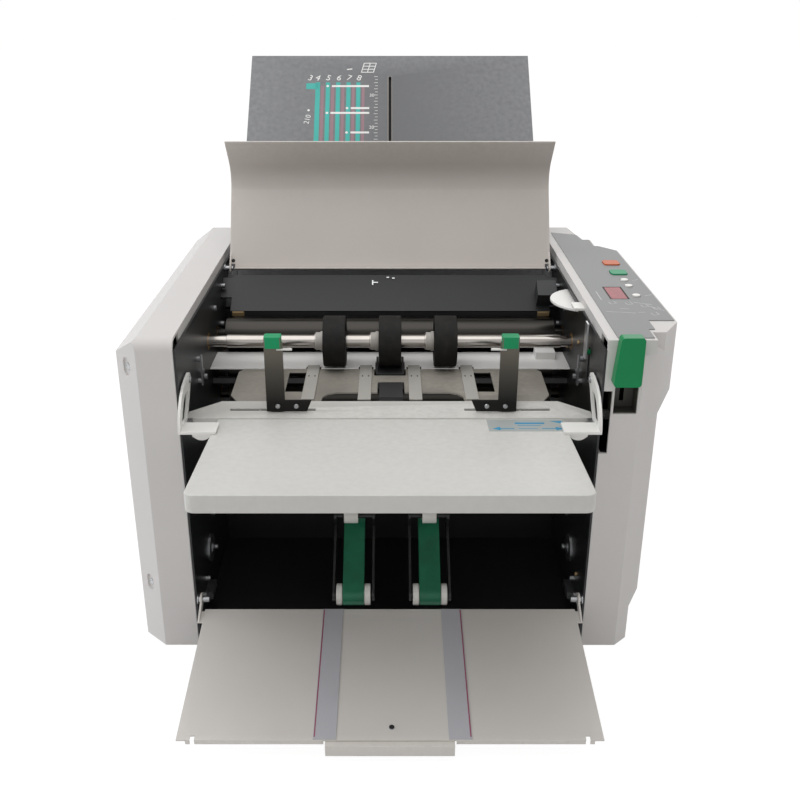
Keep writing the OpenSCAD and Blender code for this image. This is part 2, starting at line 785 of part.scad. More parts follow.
// Separator under the middle tyre: a fixed holder, its pad and the adjusting block.
module separator_pad() {
  color("#2A2A2B") {
    block([-holder_half, holder_half], [holder_y0, 180], [path_z - 16, path_z - 3]);
    block([-holder_half, holder_half], [holder_y0, holder_y0 + 3], [path_z - 3, path_z + 1.6]);
    both_sides() across(tyre_w / 2 + 0.6, holder_half) polygon([
      [holder_y0, path_z - 3], [180, path_z - 3], [180, path_z + 6], [172, path_z + 6],
      [holder_y0, path_z + 1.6]]);
    block([-11, 13], [78, 117], [path_z - 6, path_z + 0.5]);
    block([-6, 6], [100, holder_y0], [path_z - 16, path_z - 10]);
    block([-6, 6], [100, 112], [path_z - 10, path_z - 6]);
    block([-frame_in, frame_in], [170, 176], [path_z - 22, path_z - 16]);
  }
  color("#C9BFA8") block([-tyre_w / 2, tyre_w / 2], [holder_y0 + 3, 180],
                         [path_z - 3, path_z + 1.4]);
}

// Guide into the feed nip, notched around the separator and the ends of the skids.
guide_y1 = nip_y - 11;
module nip_guide() {
  z1 = path_z;
  color("#D9D8D4") difference() {
    union() {
      block([-frame_in, frame_in], [lift_y1 + 3, guide_y1], [z1 - sheet_t, z1]);
      block([frame_in - 34, frame_in - 12], [guide_y1 - 24, guide_y1 - 6], [z1, z1 + 8]);
    }
    block([-holder_half - 1, holder_half + 1], [lift_y1, 181], [z1 - 3, z1 + 1]);
    for (x = skid_xs) block([x - skid_half - 1.5, x + skid_half + 1.5], [lift_y1, skid_y1 + 2],
                            [z1 - 3, z1 + 1]);
  }
}

// Feed table: a shallow tray upside down, with round front corners.
module feed_table() {
  color("#DCDBD7") translate([0, table_rear.x, table_rear.y]) rotate([-table_slope, 0, 0])
    difference() {
      union() {
        intersection() {
          upward(-table_lip, 0) translate([-table_w / 2, -table_l])
            round_rect([table_w, table_l + 12], 9);
          block([-table_w, table_w], [-table_l, 0], [-table_lip, 0]);
        }
      }
      upward(-table_lip - 1, -table_t) translate([-table_w / 2 + 2.5, -table_l + 2.5])
        round_rect([table_w - 5, table_l + 12], 6.5);
      block([-table_w, table_w], [-table_l + 30, 1], [-table_lip - 1, -9]);
    }
}

// Arched arms that hang the table from the frames, each with a brace under the arch.
arm_t = 2.5;
arm_y0 = -22;
arm_x1 = frame_in - 1.4;
arm_x0 = arm_x1 - arm_t;
module table_arms() {
  foot_z = path_z + 5;
  color("#E4E3E0") both_sides() {
    difference() {
      across(arm_x0, arm_x1) {
        translate(table_c) circle(7);
        polygon([table_c + [-2, 6.7], [22, 290], [8, 287.5], [-4, 282], [-13, 274],
                 [-19, 265], [arm_y0, foot_z + 4], [arm_y0, foot_z], [12, foot_z],
                 [20, 259], [28, 267], table_c + [4, -5.7]]);
      }
      bar(table_c, arm_pin_r + run_gap, arm_x0 - 1, arm_x1 + 1);
      across(arm_x0 - 1, arm_x1 + 1) polygon([
        [25, 277], [12, 278.5], [2, 274], [-6, 267], [-11, 259], [-11, foot_z + 3.5],
        [8, foot_z + 3.5], [16, 262], [22, 269]]);
    }
    block([table_w / 2 - 5, arm_x0], [arm_y0, 0], [foot_z, foot_z + 2.5]);
    intersection() {
      translate([table_w / 2 + 10, -8, foot_z]) rotate([90, 0, 0]) cylinder(r = 10, h = 5);
      block([0, frame_in], [-20, 0], [foot_z - 12, foot_z]);
    }
    block([table_w / 2, arm_x0 - 8], [-10, 6], [foot_z - 8, foot_z]);
  }
}

// ---------- lever, dial and panel ----------

cap_y0 = -12;
cap_y1 = -0.6;
cap_r = 3.5;
module table_lever() {
  z0 = body_h - 41.5;
  z1 = body_h + 6;
  x0 = frame_out + 5.5;
  x1 = frame_out + 31;
  taper = 3.5;
  mx = (lever_x0 + lever_x1) / 2;
  centres = [[x1 - cap_r, z1 - cap_r], [x0 + taper + cap_r, z1 - cap_r],
             [x0 + cap_r, z0 + cap_r], [x1 - cap_r, z0 + cap_r]];
  color("#1B7A4B") difference() {
    along(cap_y0, cap_y1) polygon([for (i = [0:3]) for (j = [0:6])
      centres[i] + cap_r * [cos(90 * i + 15 * j), sin(90 * i + 15 * j)]]);
    block([x0 + 2, x1 - 2], [cap_y0 + 3, cap_y1 + 1], [z0 + 2, z0 + 10]);
  }
  color("#8A8D90") {
    block([mx - 1.5, mx + 1.5], [cap_y1, link_y + 4], [link_z - 4, link_z + 4]);
    bar([link_y, link_z], link_pin_r, frame_in - 4, mx);
    block([frame_in - 5, frame_in - 3.5], [link_y - 5, link_y + 5], [link_z - 6, link_z + 30]);
  }
}

// Dark liner of the lever slot.
module lever_guide() {
  mx = (lever_x0 + lever_x1) / 2;
  y1 = 20;
  color("#3C3B38") difference() {
    block([lever_x0 - 1.5, lever_x1 + 1.5], [cover_t, y1], [lever_z0 - 1.5, lever_z1 + 1.5]);
    block([lever_x0, lever_x1], [cover_t - 1, y1 - 1.5], [lever_z0, lever_z1]);
    block([mx - 1.9, mx + 1.9], [y1 - 3, y1 + 1], [link_z - lever_travel - 5, link_z + 5]);
  }
}

// Post and shelf that carry the separator dial, with its pointer.
dial_pin_r = 3;
module dial_bracket() {
  color("#5A5C60") {
    block([frame_out, dial_c.x + 8], [dial_c.y - 8, dial_c.y + 8], [dial_z - 3.5, dial_z - 0.5]);
    block([frame_out, frame_out + 2], [dial_c.y - 8, dial_c.y + 8], [dial_z - 24, dial_z - 3.5]);
    translate([dial_c.x, dial_c.y, dial_z - 0.5]) cylinder(r = dial_pin_r, h = dial_t + 3);
  }
  color("#D8D7D2") block([frame_in - 8, frame_out], [118, 138], [frame_z1, frame_z1 + 2.5]);
}

// The dial itself, and the panel's buttons: pieces that move under a finger.
press = 1;
button_top = body_h + overlay_t + 1.4;
button_base = body_h - 8.5;
module separator_dial() {
  color("#E6E5E1") difference() {
    translate([dial_c.x, dial_c.y, dial_z]) cylinder(r = dial_r, h = dial_t);
    translate([dial_c.x, dial_c.y, dial_z - 1]) cylinder(r = dial_pin_r + run_gap, h = dial_t + 2);
  }
}

module big_button(y, paint) {
  color(paint) {
    upward(button_base, button_top) translate([button_x - big_half, y - big_half])
      round_rect([2 * big_half, 2 * big_half], 4);
    block([button_x - 11, button_x + 11], [y - 8, y + 8], [button_base, button_base + 2]);
  }
}
module start_button() { big_button(start_y, "#2F9E62"); }
module stop_button() { big_button(stop_y, "#E0603A"); }
module set_button(y) {
  color("#E8E7E4") {
    translate([button_x, y, button_base]) cylinder(r = set_r, h = button_top - button_base);
    translate([button_x, y, button_base]) cylinder(r = set_r + 1.5, h = 2);
  }
}

board_z = body_h - 14;
board_t = 1.6;
module control_board() {
  x0 = button_x - 30;
  x1 = button_x + 14;
  switch_top = button_base - press - 0.5;
  color("#2E5B3C") {
    block([x0, x1], [110, 290], [board_z, board_z + board_t]);
    for (y = [120, 205, 285]) translate([x0 + 4, y, board_z + board_t])
      cylinder(r = 2.5, h = body_h - cover_t - board_z - board_t);
    for (y = concat(set_ys, [start_y, stop_y])) translate([button_x, y, board_z + board_t])
      cylinder(r = 2, h = switch_top - board_z - board_t);
    block([x0 + 6, x0 + 26], [228, 262], [board_z - 3, board_z]);
  }
}

// Printed overlay with its stepped outline, in one sheet.
module control_overlay() {
  x0 = frame_out + 9.5;
  color("#9A9A9C") difference() {
    upward(body_h, body_h + overlay_t) polygon([
      [x0, 5], [frame_out + ledge_in - 2, 5], [frame_out + ledge_in - 2, ledge_back + 3],
      [frame_out + ledge_in + ledge_step - 2, ledge_back + 3],
      [frame_out + ledge_in + ledge_step - 2, box_y0 + 3], [side_x - 2, box_y0 + 3],
      [side_x - 2, box_y1 - 3], [cover_out - 2, box_y1 + 19], [frame_out + 51, box_y1 + 20],
      [frame_out + 51, box_y1 + 51], [frame_out + 42, box_y1 + 51], [frame_out + 39, box_y1 + 77],
      [frame_out + 11, box_y1 + 89], [x0, box_y1 + 89]]);
    button_holes(button_gap, body_h - 1, body_h + 2);
    block(window_x, window_y, [body_h - 1, body_h + 2]);
  }
}

module display_window() {
  color("#7E1F22") block(window_x, window_y, [body_h, body_h + overlay_t]);
}

// Mains inlet on the rear wall of the left cover, and the bezel of the rocker switch.
rocker_c = [body_d - 4, switch_z];
rocker_pin_r = 1.5;
module power_inlet() {
  color("#222325") mirror([1, 0, 0]) {
    difference() {
      union() {
        block([inlet_x - 16, inlet_x + 16], [body_d, body_d + 2], [inlet_z - 13, inlet_z + 13]);
        block([inlet_x - inlet_w / 2, inlet_x + inlet_w / 2], [body_d - 20, body_d],
              [inlet_z - inlet_h / 2, inlet_z + inlet_h / 2]);
      }
      block([inlet_x - 12, inlet_x + 12], [body_d - 16, body_d + 3], [inlet_z - 8, inlet_z + 8]);
    }
    for (p = [[-7, -2], [0, 2], [7, -2]])
      block([inlet_x + p.x - 1, inlet_x + p.x + 1], [body_d - 16, body_d - 6],
            [inlet_z + p.y - 2, inlet_z + p.y + 2]);
    difference() {
      union() {
        block([inlet_x - 8.5, inlet_x + 8.5], [body_d, body_d + 1.5],
              [switch_z - 13, switch_z + 13]);
        block([inlet_x - switch_w / 2, inlet_x + switch_w / 2], [body_d - 16, body_d],
              [switch_z - switch_h / 2, switch_z + switch_h / 2]);
      }
      block([inlet_x - 5, inlet_x + 5], [body_d - 14, body_d + 2], [switch_z - 9, switch_z + 9]);
    }
    bar(rocker_c, rocker_pin_r, inlet_x - 5, inlet_x + 5);
  }
}

rocker_tilt = 7;
module power_rocker() {
  color("#26272A") mirror([1, 0, 0]) difference() {
    across(inlet_x - 4.6, inlet_x + 4.6) translate(rocker_c) rotate(-rocker_tilt)
      polygon([[-5, -5], [-5, 5], [3, 8], [4.2, 0], [3, -8]]);
    bar(rocker_c, rocker_pin_r + run_gap, inlet_x - 6, inlet_x + 6);
  }
}

// ---------- guard and sensor over the rollers ----------

guard_c = [nip_y + 16, path_z + 39];
guard_lean = 33.5;
guard_l = 54;
guard_x = frame_in - 13;
module on_guard() { translate([0, guard_c.x, guard_c.y]) rotate([guard_lean, 0, 0]) children(); }
module roller_guard() {
  color("#54575B") on_guard() {
    block([-guard_x, guard_x], [0, guard_l], [0, 1.5]);
    both_sides() block([guard_x, frame_in], [20, 50], [0, 1.5]);
    block([-guard_x, guard_x], [guard_l - 1.5, guard_l], [-5, 0]);
  }
  color("#2E3033") block([-guard_x, guard_x], [guard_c.x + 0.3, guard_c.x + 1.8],
                         [guard_c.y - 6, guard_c.y + 0.9]);
}

sensor_x = [frame_in - 28, frame_in - 6];
module sensor_box() {
  color("#2D2D2F") on_guard() {
    block(sensor_x, [8, 30], [1.5, 20]);
    block([sensor_x[1] - 8, sensor_x[1]], [30, 36], [1.5, 12]);
  }
}

// ---------- delivery ----------

pinch_xs = [-41, 41.5];
pinch_w = 15;
wheel_pin_r = 3;
pinch_pin_r = 2.5;

// Two beams beside each belt, seated on the back plate, with the pins of the wheels.
module beam_outline() {
  difference() {
    union() {
      translate(wheel_c) circle(7);
      translate(wheel_c) rotate(belt_dir) translate([0, -7]) square([260, 14]);
      translate(wheel_c) rotate(belt_dir) translate([pinch_s - 5, 0]) square([10, pinch_n]);
      translate(pinch_c) circle(5);
    }
    translate([back_plate_y, 0]) square(300);
    translate(drive_c) circle(journal_r + 1);
  }
}
module stacker_frame() {
  color("#1C1D1F") for (i = [0, 1]) {
    x = belt_xs[i];
    for (s = [-1, 1]) {
      x0 = x + s * beam_x - (s < 0 ? beam_t : 0);
      across(x0, x0 + beam_t) beam_outline();
    }
    bar(wheel_c, wheel_pin_r, x - beam_x, x + beam_x);
    bar(pinch_c, pinch_pin_r, x - beam_x, x + beam_x);
  }
}

module stacker_belts() {
  color("#11644A") for (x = belt_xs)
    belt(wheel_c, belt_seat_r, drive_c, belt_seat_r, belt_t, x - belt_w / 2, x + belt_w / 2);
}

module stacker_drive() {
  color("#A9ABAD") bar(drive_c, journal_r, -short_end, delivery_x + drive_w);
  color("#A9ABAD") bar(drive_c, delivery_pulley_r, delivery_x, delivery_x + drive_w);
  color("#E4E2DE") for (x = belt_xs)
    bar(drive_c, belt_seat_r, x - belt_w / 2 - 1, x + belt_w / 2 + 1);
}

// White wheels with a seat for the belt, on the beams' front pins.
module stacker_wheels() {
  groove = belt_w / 2 + 0.5;
  color("#E4E2DE") for (x = belt_xs) difference() {
    union() {
      bar(wheel_c, belt_seat_r, x - wheel_w / 2, x + wheel_w / 2);
      bar(wheel_c, wheel_r, x - wheel_w / 2, x - groove);
      bar(wheel_c, wheel_r, x + groove, x + wheel_w / 2);
    }
    bar(wheel_c, wheel_pin_r + run_gap, x - wheel_w, x + wheel_w);
  }
}

module pinch_wheels() {
  color("#E4E2DE") for (x = pinch_xs) difference() {
    bar(pinch_c, pinch_r, x - pinch_w / 2, x + pinch_w / 2);
    bar(pinch_c, pinch_pin_r + run_gap, x - pinch_w, x + pinch_w);
  }
}

// Tray pieces are drawn flat about the hinge and then tipped to the open tray's fall.
ear_x0 = frame_in - 5;
ear_x1 = frame_in - 3;
ext_rail = 2.5;
module on_tray() { translate([0, tray_c.x, tray_c.y]) rotate([tray_fall, 0, 0]) children(); }
module delivery_tray() {
  z1 = -tray_drop;
  z0 = z1 - tray_sheet;
  y0 = -tray_start - tray_l;
  rail_x = ext_w / 2 + 0.5;
  color("#B5AFA6") on_tray() {
    difference() {
      union() {
        block([-tray_w / 2, tray_w / 2], [y0, -tray_start], [z0, z1]);
        block([-tray_w / 2 + 8, tray_w / 2 - 8], [y0, y0 + tray_sheet], [z0 - 4, z0]);
      }
      block([-rail_x - 1, rail_x + 1], [y0 - 1, y0 + 2], [z0 - 5, z0]);
      both_sides() block([tray_w / 2 - 16, tray_w / 2 - 12], [y0 - 1, y0 + 5], [z0 - 5, z1 + 1]);
    }
    both_sides() {
      block([rail_x, rail_x + ext_rail], [y0 + 6, -20], [z0 - 3, z0]);
      block([rail_x - 5, rail_x + ext_rail], [y0 + 6, -20], [z0 - 4.2, z0 - 3]);
      block([tray_w / 2 - 1, ear_x1], [-26, -10], [z0, z1]);
      difference() {
        across(ear_x0, ear_x1) {
          circle(6.5);
          polygon([[-6.5, 0], [6.5, 0], [-5, z0], [-26, z0], [-26, z1]]);
        }
        bar([0, 0], arm_pin_r + run_gap, ear_x0 - 1, ear_x1 + 1);
      }
    }
  }
}

// Grey strips that let the sheets slide, as long as the tray, and the stop screw.
strip_xs = [-57.5, 62];
strip_w = 20.5;
module tray_strips() {
  y0 = -tray_start - tray_l;
  color("#8E8E94") on_tray() for (x = strip_xs)
    block([x - strip_w / 2, x + strip_w / 2], [y0 + 0.5, -tray_start - 0.5],
          [-tray_drop, -tray_drop + 0.8]);
  color("#4A4A4C") on_tray() translate([1.5, y0 + 13.5, -tray_drop]) cylinder(r = 2.6, h = 1);
}

module tray_extension() {
  y0 = -tray_start - tray_l - ext_out;
  color("#BDB8B0") on_tray() {
    block([-ext_w / 2, ext_w / 2], [y0, y0 + ext_l], [-ext_top - ext_t, -ext_top]);
    block([-ext_w / 2, ext_w / 2], [y0 - ext_t, y0], [-ext_top - ext_lip, -ext_top]);
  }
}

// ---------- fold plates ----------

slot_half = 1.75;
stop_w = plate_w - 28;
stop_t = 1.6;
stop_knob_r = 9;
upper_stop_y = 170;
lower_knob_y = 250;
lower_stop_y = 100;
module on_upper() { translate([0, upper_c.x, upper_c.y]) rotate([upper_lean, 0, 0]) children(); }
module on_lower() { translate([0, lower_c.x, lower_c.y]) rotate([-lower_fall, 0, 0]) children(); }

module upper_plate_front() {
  color("#7F8083") on_upper() difference() {
    block([-plate_w / 2, plate_w / 2], [0, upper_l], [half_gap, sheet_out]);
    block([-slot_half, slot_half], [80, upper_l - 35], [half_gap - 1, sheet_out + 1]);
  }
}
module upper_plate_back() {
  color("#7F8083") on_upper()
    block([-plate_w / 2, plate_w / 2], [0, upper_l], [-sheet_out, -half_gap]);
}
module lower_plate_sheets() {
  color("#7F8083") on_lower() {
    block([-plate_w / 2, plate_w / 2], [0, lower_l], [-sheet_out, -half_gap]);
    difference() {
      block([-plate_w / 2, plate_w / 2], [0, lower_l], [half_gap, sheet_out]);
      block([-slot_half, slot_half], [lower_knob_y - 14, lower_l - 14],
            [half_gap - 1, sheet_out + 1]);
    }
  }
}

// Side rails that keep the sheets apart and carry the plates in the frames.
module rail_pair(l, ear) {
  both_sides() {
    block([plate_w / 2 - 4, plate_w / 2], [10, l - 6], [-half_gap, half_gap]);
    block([plate_w / 2, frame_in], ear, [-3, 3]);
  }
}
module plate_rails() {
  color("#6A6C70") {
    on_upper() rail_pair(upper_l, [30, 90]);
    on_lower() rail_pair(lower_l, [40, 120]);
  }
}

// Paper stops that slide along the plates, each with its knob.
module stop_knob(y) {
  translate([-1.2, y - 4, -stop_t / 2]) cube([2.4, 8, sheet_out + 3]);
  translate([0, y, sheet_out + 1]) cylinder(r = stop_knob_r, h = 8);
}
module upper_fold_stop() {
  color("#3B3D40") on_upper() {
    block([-stop_w / 2, stop_w / 2], [upper_stop_y, upper_stop_y + 8], [-stop_t / 2, stop_t / 2]);
    stop_knob(upper_stop_y + 4);
  }
}
module lower_fold_stop() {
  color("#3B3D40") on_lower() {
    block([-stop_w / 2, stop_w / 2], [lower_stop_y, lower_stop_y + 8], [-stop_t / 2, stop_t / 2]);
    block([-6, 6], [lower_stop_y + 8, lower_knob_y + 4], [-stop_t / 2, stop_t / 2]);
    stop_knob(lower_knob_y);
  }
}

// ---------- hood ----------

flare_turn = 160.9;
pin_relief = 6;
module on_hood() { translate([0, hood_c.x, hood_c.y]) rotate([-hood_lean, 0, 0]) children(); }
module hood() {
  h = hood_t / 2;
  color("#C4BBB4") on_hood() {
    difference() {
      across(-hood_w / 2, hood_w / 2) {
        translate([-h, -2]) square([hood_t, hood_l + 2]);
        translate([-6, -2]) square([6, hood_t]);
        translate([0, hood_l]) circle(h);
        translate([0, hood_l]) rotate(flare_turn) translate([0, -h])
          square([hood_flare_l, hood_t]);
      }
      both_sides() block([hood_w / 2 - pin_relief, hood_w / 2 + 1], [-7, h + 1], [-3, 5]);
    }
    both_sides() difference() {
      across(hood_w / 2 - 2, hood_w / 2) {
        circle(6);
        polygon([[-6, 0], [6, 0], [h, 22], [-h, 22]]);
      }
      bar([0, 0], arm_pin_r + run_gap, hood_w / 2 - 3, hood_w);
    }
  }
}

in_frame() base_pan();
in_frame() left_side_frame();
in_frame() right_side_frame();
in_frame() left_cover();
in_frame() right_cover();
in_frame() rear_cover();
in_frame() rubber_feet();
in_frame() cover_screws();
in_frame() cross_rods();
in_frame() shaft_bushes();
in_frame() frame_fittings();
in_frame() drive_motor();
in_frame() drive_belts();
in_frame() control_board();
in_frame() control_overlay();
in_frame() display_window();
in_frame() power_inlet();
in_frame() lever_guide();
in_frame() dial_bracket();
in_frame() roller_guard();
in_frame() sensor_box();
in_frame() nip_guide();
in_frame() infeed_ramp();
in_frame() separator_pad();
in_frame() stacker_frame();
in_frame() stacker_belts();
in_frame() upper_plate_front();
in_frame() upper_plate_back();
in_frame() lower_plate_sheets();
in_frame() plate_rails();
in_frame() hood();
in_frame() feed_table();
in_frame() table_arms();
in_frame() lift_plate();
in_frame() feed_skids();
in_frame() table_lever();
in_frame() left_fence();
in_frame() right_fence();
in_frame() feed_shaft();
in_frame() feed_tyres();
in_frame() fold_roller_1();
in_frame() fold_roller_2();
in_frame() fold_roller_3();
in_frame() fold_roller_4();
in_frame() motor_pulley();
in_frame() stacker_drive();
in_frame() stacker_wheels();
in_frame() pinch_wheels();
in_frame() delivery_tray();
in_frame() tray_strips();
in_frame() tray_extension();
in_frame() upper_fold_stop();
in_frame() lower_fold_stop();
in_frame() separator_dial();
in_frame() start_button();
in_frame() stop_button();
in_frame() set_button(set_ys[0]);  // set_button_front
in_frame() set_button(set_ys[1]);  // set_button_middle
in_frame() set_button(set_ys[2]);  // set_button_rear
in_frame() power_rocker();
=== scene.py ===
# Paper folding machine: materials, printed marks, screws and small fittings around the
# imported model. Lengths in the tables are millimetres in the maker's frame: x to the right
# of the middle, y back from the front face of the side covers, z up from the table.
import json
import math

import bmesh
import bpy
from mathutils import Matrix, Vector

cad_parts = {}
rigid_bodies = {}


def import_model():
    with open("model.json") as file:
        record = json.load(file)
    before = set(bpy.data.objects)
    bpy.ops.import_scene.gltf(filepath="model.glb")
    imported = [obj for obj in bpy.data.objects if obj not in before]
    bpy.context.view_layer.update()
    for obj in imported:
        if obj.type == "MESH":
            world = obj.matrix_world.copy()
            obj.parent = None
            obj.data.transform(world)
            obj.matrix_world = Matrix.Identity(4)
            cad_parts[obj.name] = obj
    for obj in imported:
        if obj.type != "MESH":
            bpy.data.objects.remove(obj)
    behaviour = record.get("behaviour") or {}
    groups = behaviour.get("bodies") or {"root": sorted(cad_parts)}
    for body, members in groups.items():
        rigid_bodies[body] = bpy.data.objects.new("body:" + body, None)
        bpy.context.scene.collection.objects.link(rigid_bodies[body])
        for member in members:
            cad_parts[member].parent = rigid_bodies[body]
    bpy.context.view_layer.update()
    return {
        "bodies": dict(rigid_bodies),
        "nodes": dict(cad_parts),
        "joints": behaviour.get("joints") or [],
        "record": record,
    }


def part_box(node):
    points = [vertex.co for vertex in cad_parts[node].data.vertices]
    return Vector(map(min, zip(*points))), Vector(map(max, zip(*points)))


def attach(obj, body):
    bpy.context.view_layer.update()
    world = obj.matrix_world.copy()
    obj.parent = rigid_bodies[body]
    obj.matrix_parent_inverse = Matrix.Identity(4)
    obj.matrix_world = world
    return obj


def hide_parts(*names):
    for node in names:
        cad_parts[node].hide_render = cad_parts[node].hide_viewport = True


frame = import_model()

NODES = frame["nodes"]
PAN_LOW, PAN_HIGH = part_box("base_pan")
COVER_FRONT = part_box("left_cover")[0].y
MIDDLE = Vector(((PAN_LOW.x + PAN_HIGH.x) / 2, COVER_FRONT, 0))


def at(x, y, z):
    """A point of the maker's frame, in metres in the row frame."""
    return MIDDLE + Vector((x, y, z)) / 1000


# ---------- camera and light ----------

PHOTO_PIXELS = 800
FOCAL_PIXELS = 987
SHIFT_PIXELS = 10        # the machine's middle stands this far left of the picture's
SENSOR = 36
PITCH = 23.05            # degrees below level
EYE = (0, -843, 636)

camera_data = bpy.data.cameras.new("photo_camera")
camera_data.sensor_width = SENSOR
camera_data.lens = SENSOR * FOCAL_PIXELS / PHOTO_PIXELS
camera_data.shift_x = SHIFT_PIXELS / PHOTO_PIXELS
camera = bpy.data.objects.new("photo_camera", camera_data)
camera.location = at(*EYE)
camera.rotation_euler = (math.radians(90 - PITCH), 0, 0)
bpy.context.scene.collection.objects.link(camera)
bpy.context.scene.camera = camera
bpy.context.scene.view_settings.view_transform = "Standard"


def softbox(name, place, target, width, height, watts, tint=(1, 1, 1)):
    """A studio softbox that faces its target."""
    data = bpy.data.lights.new(name, "AREA")
    data.shape = "RECTANGLE"
    data.color = tint
    data.size, data.size_y, data.energy = width, height, watts
    lamp = bpy.data.objects.new(name, data)
    lamp.location = place
    lamp.rotation_euler = (Vector(target) - Vector(place)).to_track_quat("-Z", "Y").to_euler()
    bpy.context.scene.collection.objects.link(lamp)


softbox("top_softbox", (-0.3, -0.2, 1.85), (0, 0, 0.2), 2.2, 1.6, 16)
softbox("front_softbox", (-0.5, -1.7, 0.5), (0, -0.2, 0.3), 1.8, 0.6, 0.4)
softbox("left_softbox", (-1.7, -0.1, 0.9), (0, 0, 0.2), 1.0, 1.0, 8, (0.88, 0.93, 1))
softbox("rear_softbox", (0.6, 1.9, 1.3), (0, 0.1, 0.2), 1.4, 1.0, 4)


# ---------- materials ----------


def linear(code):
    """Linear colour from an sRGB hex code."""
    parts = [int(code[i : i + 2], 16) / 255 for i in (1, 3, 5)]
    return [p / 12.92 if p <= 0.04045 else ((p + 0.055) / 1.055) ** 2.4 for p in parts] + [1]


def add(tree, kind, links=None, **settings):
    """Adds a node. Settings are its own properties or its inputs, with _ for a space."""
    node = tree.nodes.new("ShaderNode" + kind)
    for name, value in settings.items():
        if hasattr(node, name):
            setattr(node, name, value)
        else:
            node.inputs[name.replace("_", " ")].default_value = value
    for socket, source in (links or {}).items():
        tree.links.new(source, node.inputs[socket])
    return node


def new_material(name):
    """An empty node material and its tree."""
    material = bpy.data.materials.new(name)
    material.use_nodes = True
    tree = material.node_tree
    tree.nodes.clear()
    return material, tree


def finish_surface(tree, shader):
    """Connects the shader to the material's output."""
    add(tree, "OutputMaterial", {"Surface": shader.outputs["BSDF"]})


def ramp(tree, fac, stops):
    """A colour ramp from (position, hex) stops."""
    node = add(tree, "ValToRGB", {"Fac": fac})
    elements = node.color_ramp.elements
    while len(elements) < len(stops):
        elements.new(0.5)
    for element, (position, code) in zip(elements, stops):
        element.position = position
        element.color = linear(code)
    return node


def cells_per_metre(millimetres):
    """A noise node's scale for grains of this size."""
    return 1000 / millimetres


BANDS_PER_SCALE = 3.15   # bands per metre that a wave node draws for each unit of its scale


def wave_scale(pitch_mm):
    """A wave node's scale for bands of this pitch."""
    return cells_per_metre(pitch_mm) / BANDS_PER_SCALE


def coated_sheet(name, colour, shade, roughness, peel_mm, peel_depth, gloss=0.5, worn=None):
    """Painted or moulded surface: slow tone drift, a fine skin and rubbed edges."""
    material, tree = new_material(name)
    place = add(tree, "TexCoord").outputs["Object"]
    drift = add(tree, "TexNoise", {"Vector": place}, Scale=cells_per_metre(90), Detail=3)
    skin = add(tree, "TexNoise", {"Vector": place}, Scale=cells_per_metre(peel_mm), Detail=4,
               Roughness=0.6)
    tone = ramp(tree, drift.outputs["Fac"], [(0.35, shade), (0.65, colour)])
    base = tone.outputs["Color"]
    if worn:
        rub = add(tree, "NewGeometry").outputs["Pointiness"]
        edge = add(tree, "MapRange", {"Value": rub}, From_Min=0.53, From_Max=0.6)
        scuff = add(tree, "TexNoise", {"Vector": place}, Scale=cells_per_metre(6), Detail=5)
        patchy = add(tree, "Math", {0: edge.outputs[0], 1: scuff.outputs["Fac"]},
                     operation="MULTIPLY")
        base = add(tree, "Mix", {"Factor": patchy.outputs[0], 6: base}, data_type="RGBA")
        base.inputs[7].default_value = linear(worn)
        base = base.outputs[2]
    sheen = add(tree, "MapRange", {"Value": drift.outputs["Fac"]}, To_Min=roughness - 0.02,
                To_Max=roughness + 0.02)
    bump = add(tree, "Bump", {"Height": skin.outputs["Fac"]}, Strength=0.16,
               Distance=peel_depth / 1000)
    shader = add(tree, "BsdfPrincipled", {"Base Color": base, "Roughness": sheen.outputs[0],
                                          "Normal": bump.outputs[0]}, IOR=1.5)
    shader.inputs["Specular IOR Level"].default_value = gloss
    finish_surface(tree, shader)
    return material


def bare_metal(name, colour, shade, roughness, lay, lay_depth):
    """Bare or plated metal: lay is the size in mm of its marks along x, y and z."""
    material, tree = new_material(name)
    place = add(tree, "TexCoord").outputs["Object"]
    stretched = add(tree, "Mapping", {"Vector": place})
    stretched.inputs["Scale"].default_value = [cells_per_metre(size) for size in lay]
    marks = add(tree, "TexNoise", {"Vector": stretched.outputs[0]}, Scale=1, Detail=5)
    tarnish = add(tree, "TexNoise", {"Vector": place}, Scale=cells_per_metre(35), Detail=3)
    tone = ramp(tree, tarnish.outputs["Fac"], [(0.3, shade), (0.7, colour)])
    rough = add(tree, "MapRange", {"Value": marks.outputs["Fac"]}, To_Min=roughness * 0.75,
                To_Max=roughness * 1.25)
    bump = add(tree, "Bump", {"Height": marks.outputs["Fac"]}, Strength=0.3,
               Distance=lay_depth / 1000)
    shader = add(tree, "BsdfPrincipled", {"Base Color": tone.outputs["Color"],
                                          "Roughness": rough.outputs[0],
                                          "Normal": bump.outputs[0]}, Metallic=1)
    finish_surface(tree, shader)
    return material


def knurled_steel():
    """Ground steel with a crossed knurl: 0.8 mm pitch, drawn at 1.6 mm so that it shows."""
    material, tree = new_material("knurled_steel_roller")
    place = add(tree, "TexCoord").outputs["Object"]
    lines = []
    for slant in (45, -45):
        turned = add(tree, "Mapping", {"Vector": place})
        turned.inputs["Rotation"].default_value = (math.radians(slant), 0, math.radians(slant))
        lines.append(add(tree, "TexWave", {"Vector": turned.outputs[0]},
                         Scale=wave_scale(1.6), wave_profile="TRI"))
    cross = add(tree, "Math", {0: lines[0].outputs["Fac"], 1: lines[1].outputs["Fac"]},
                operation="MULTIPLY")
    tone = ramp(tree, cross.outputs[0], [(0, "#2F2D2B"), (0.6, "#43413E")])
    bump = add(tree, "Bump", {"Height": cross.outputs[0]}, Strength=0.3, Distance=0.00004)
    shader = add(tree, "BsdfPrincipled", {"Base Color": tone.outputs["Color"],
                                          "Normal": bump.outputs[0]}, Metallic=1,
                 Roughness=0.28)
    finish_surface(tree, shader)
    return material


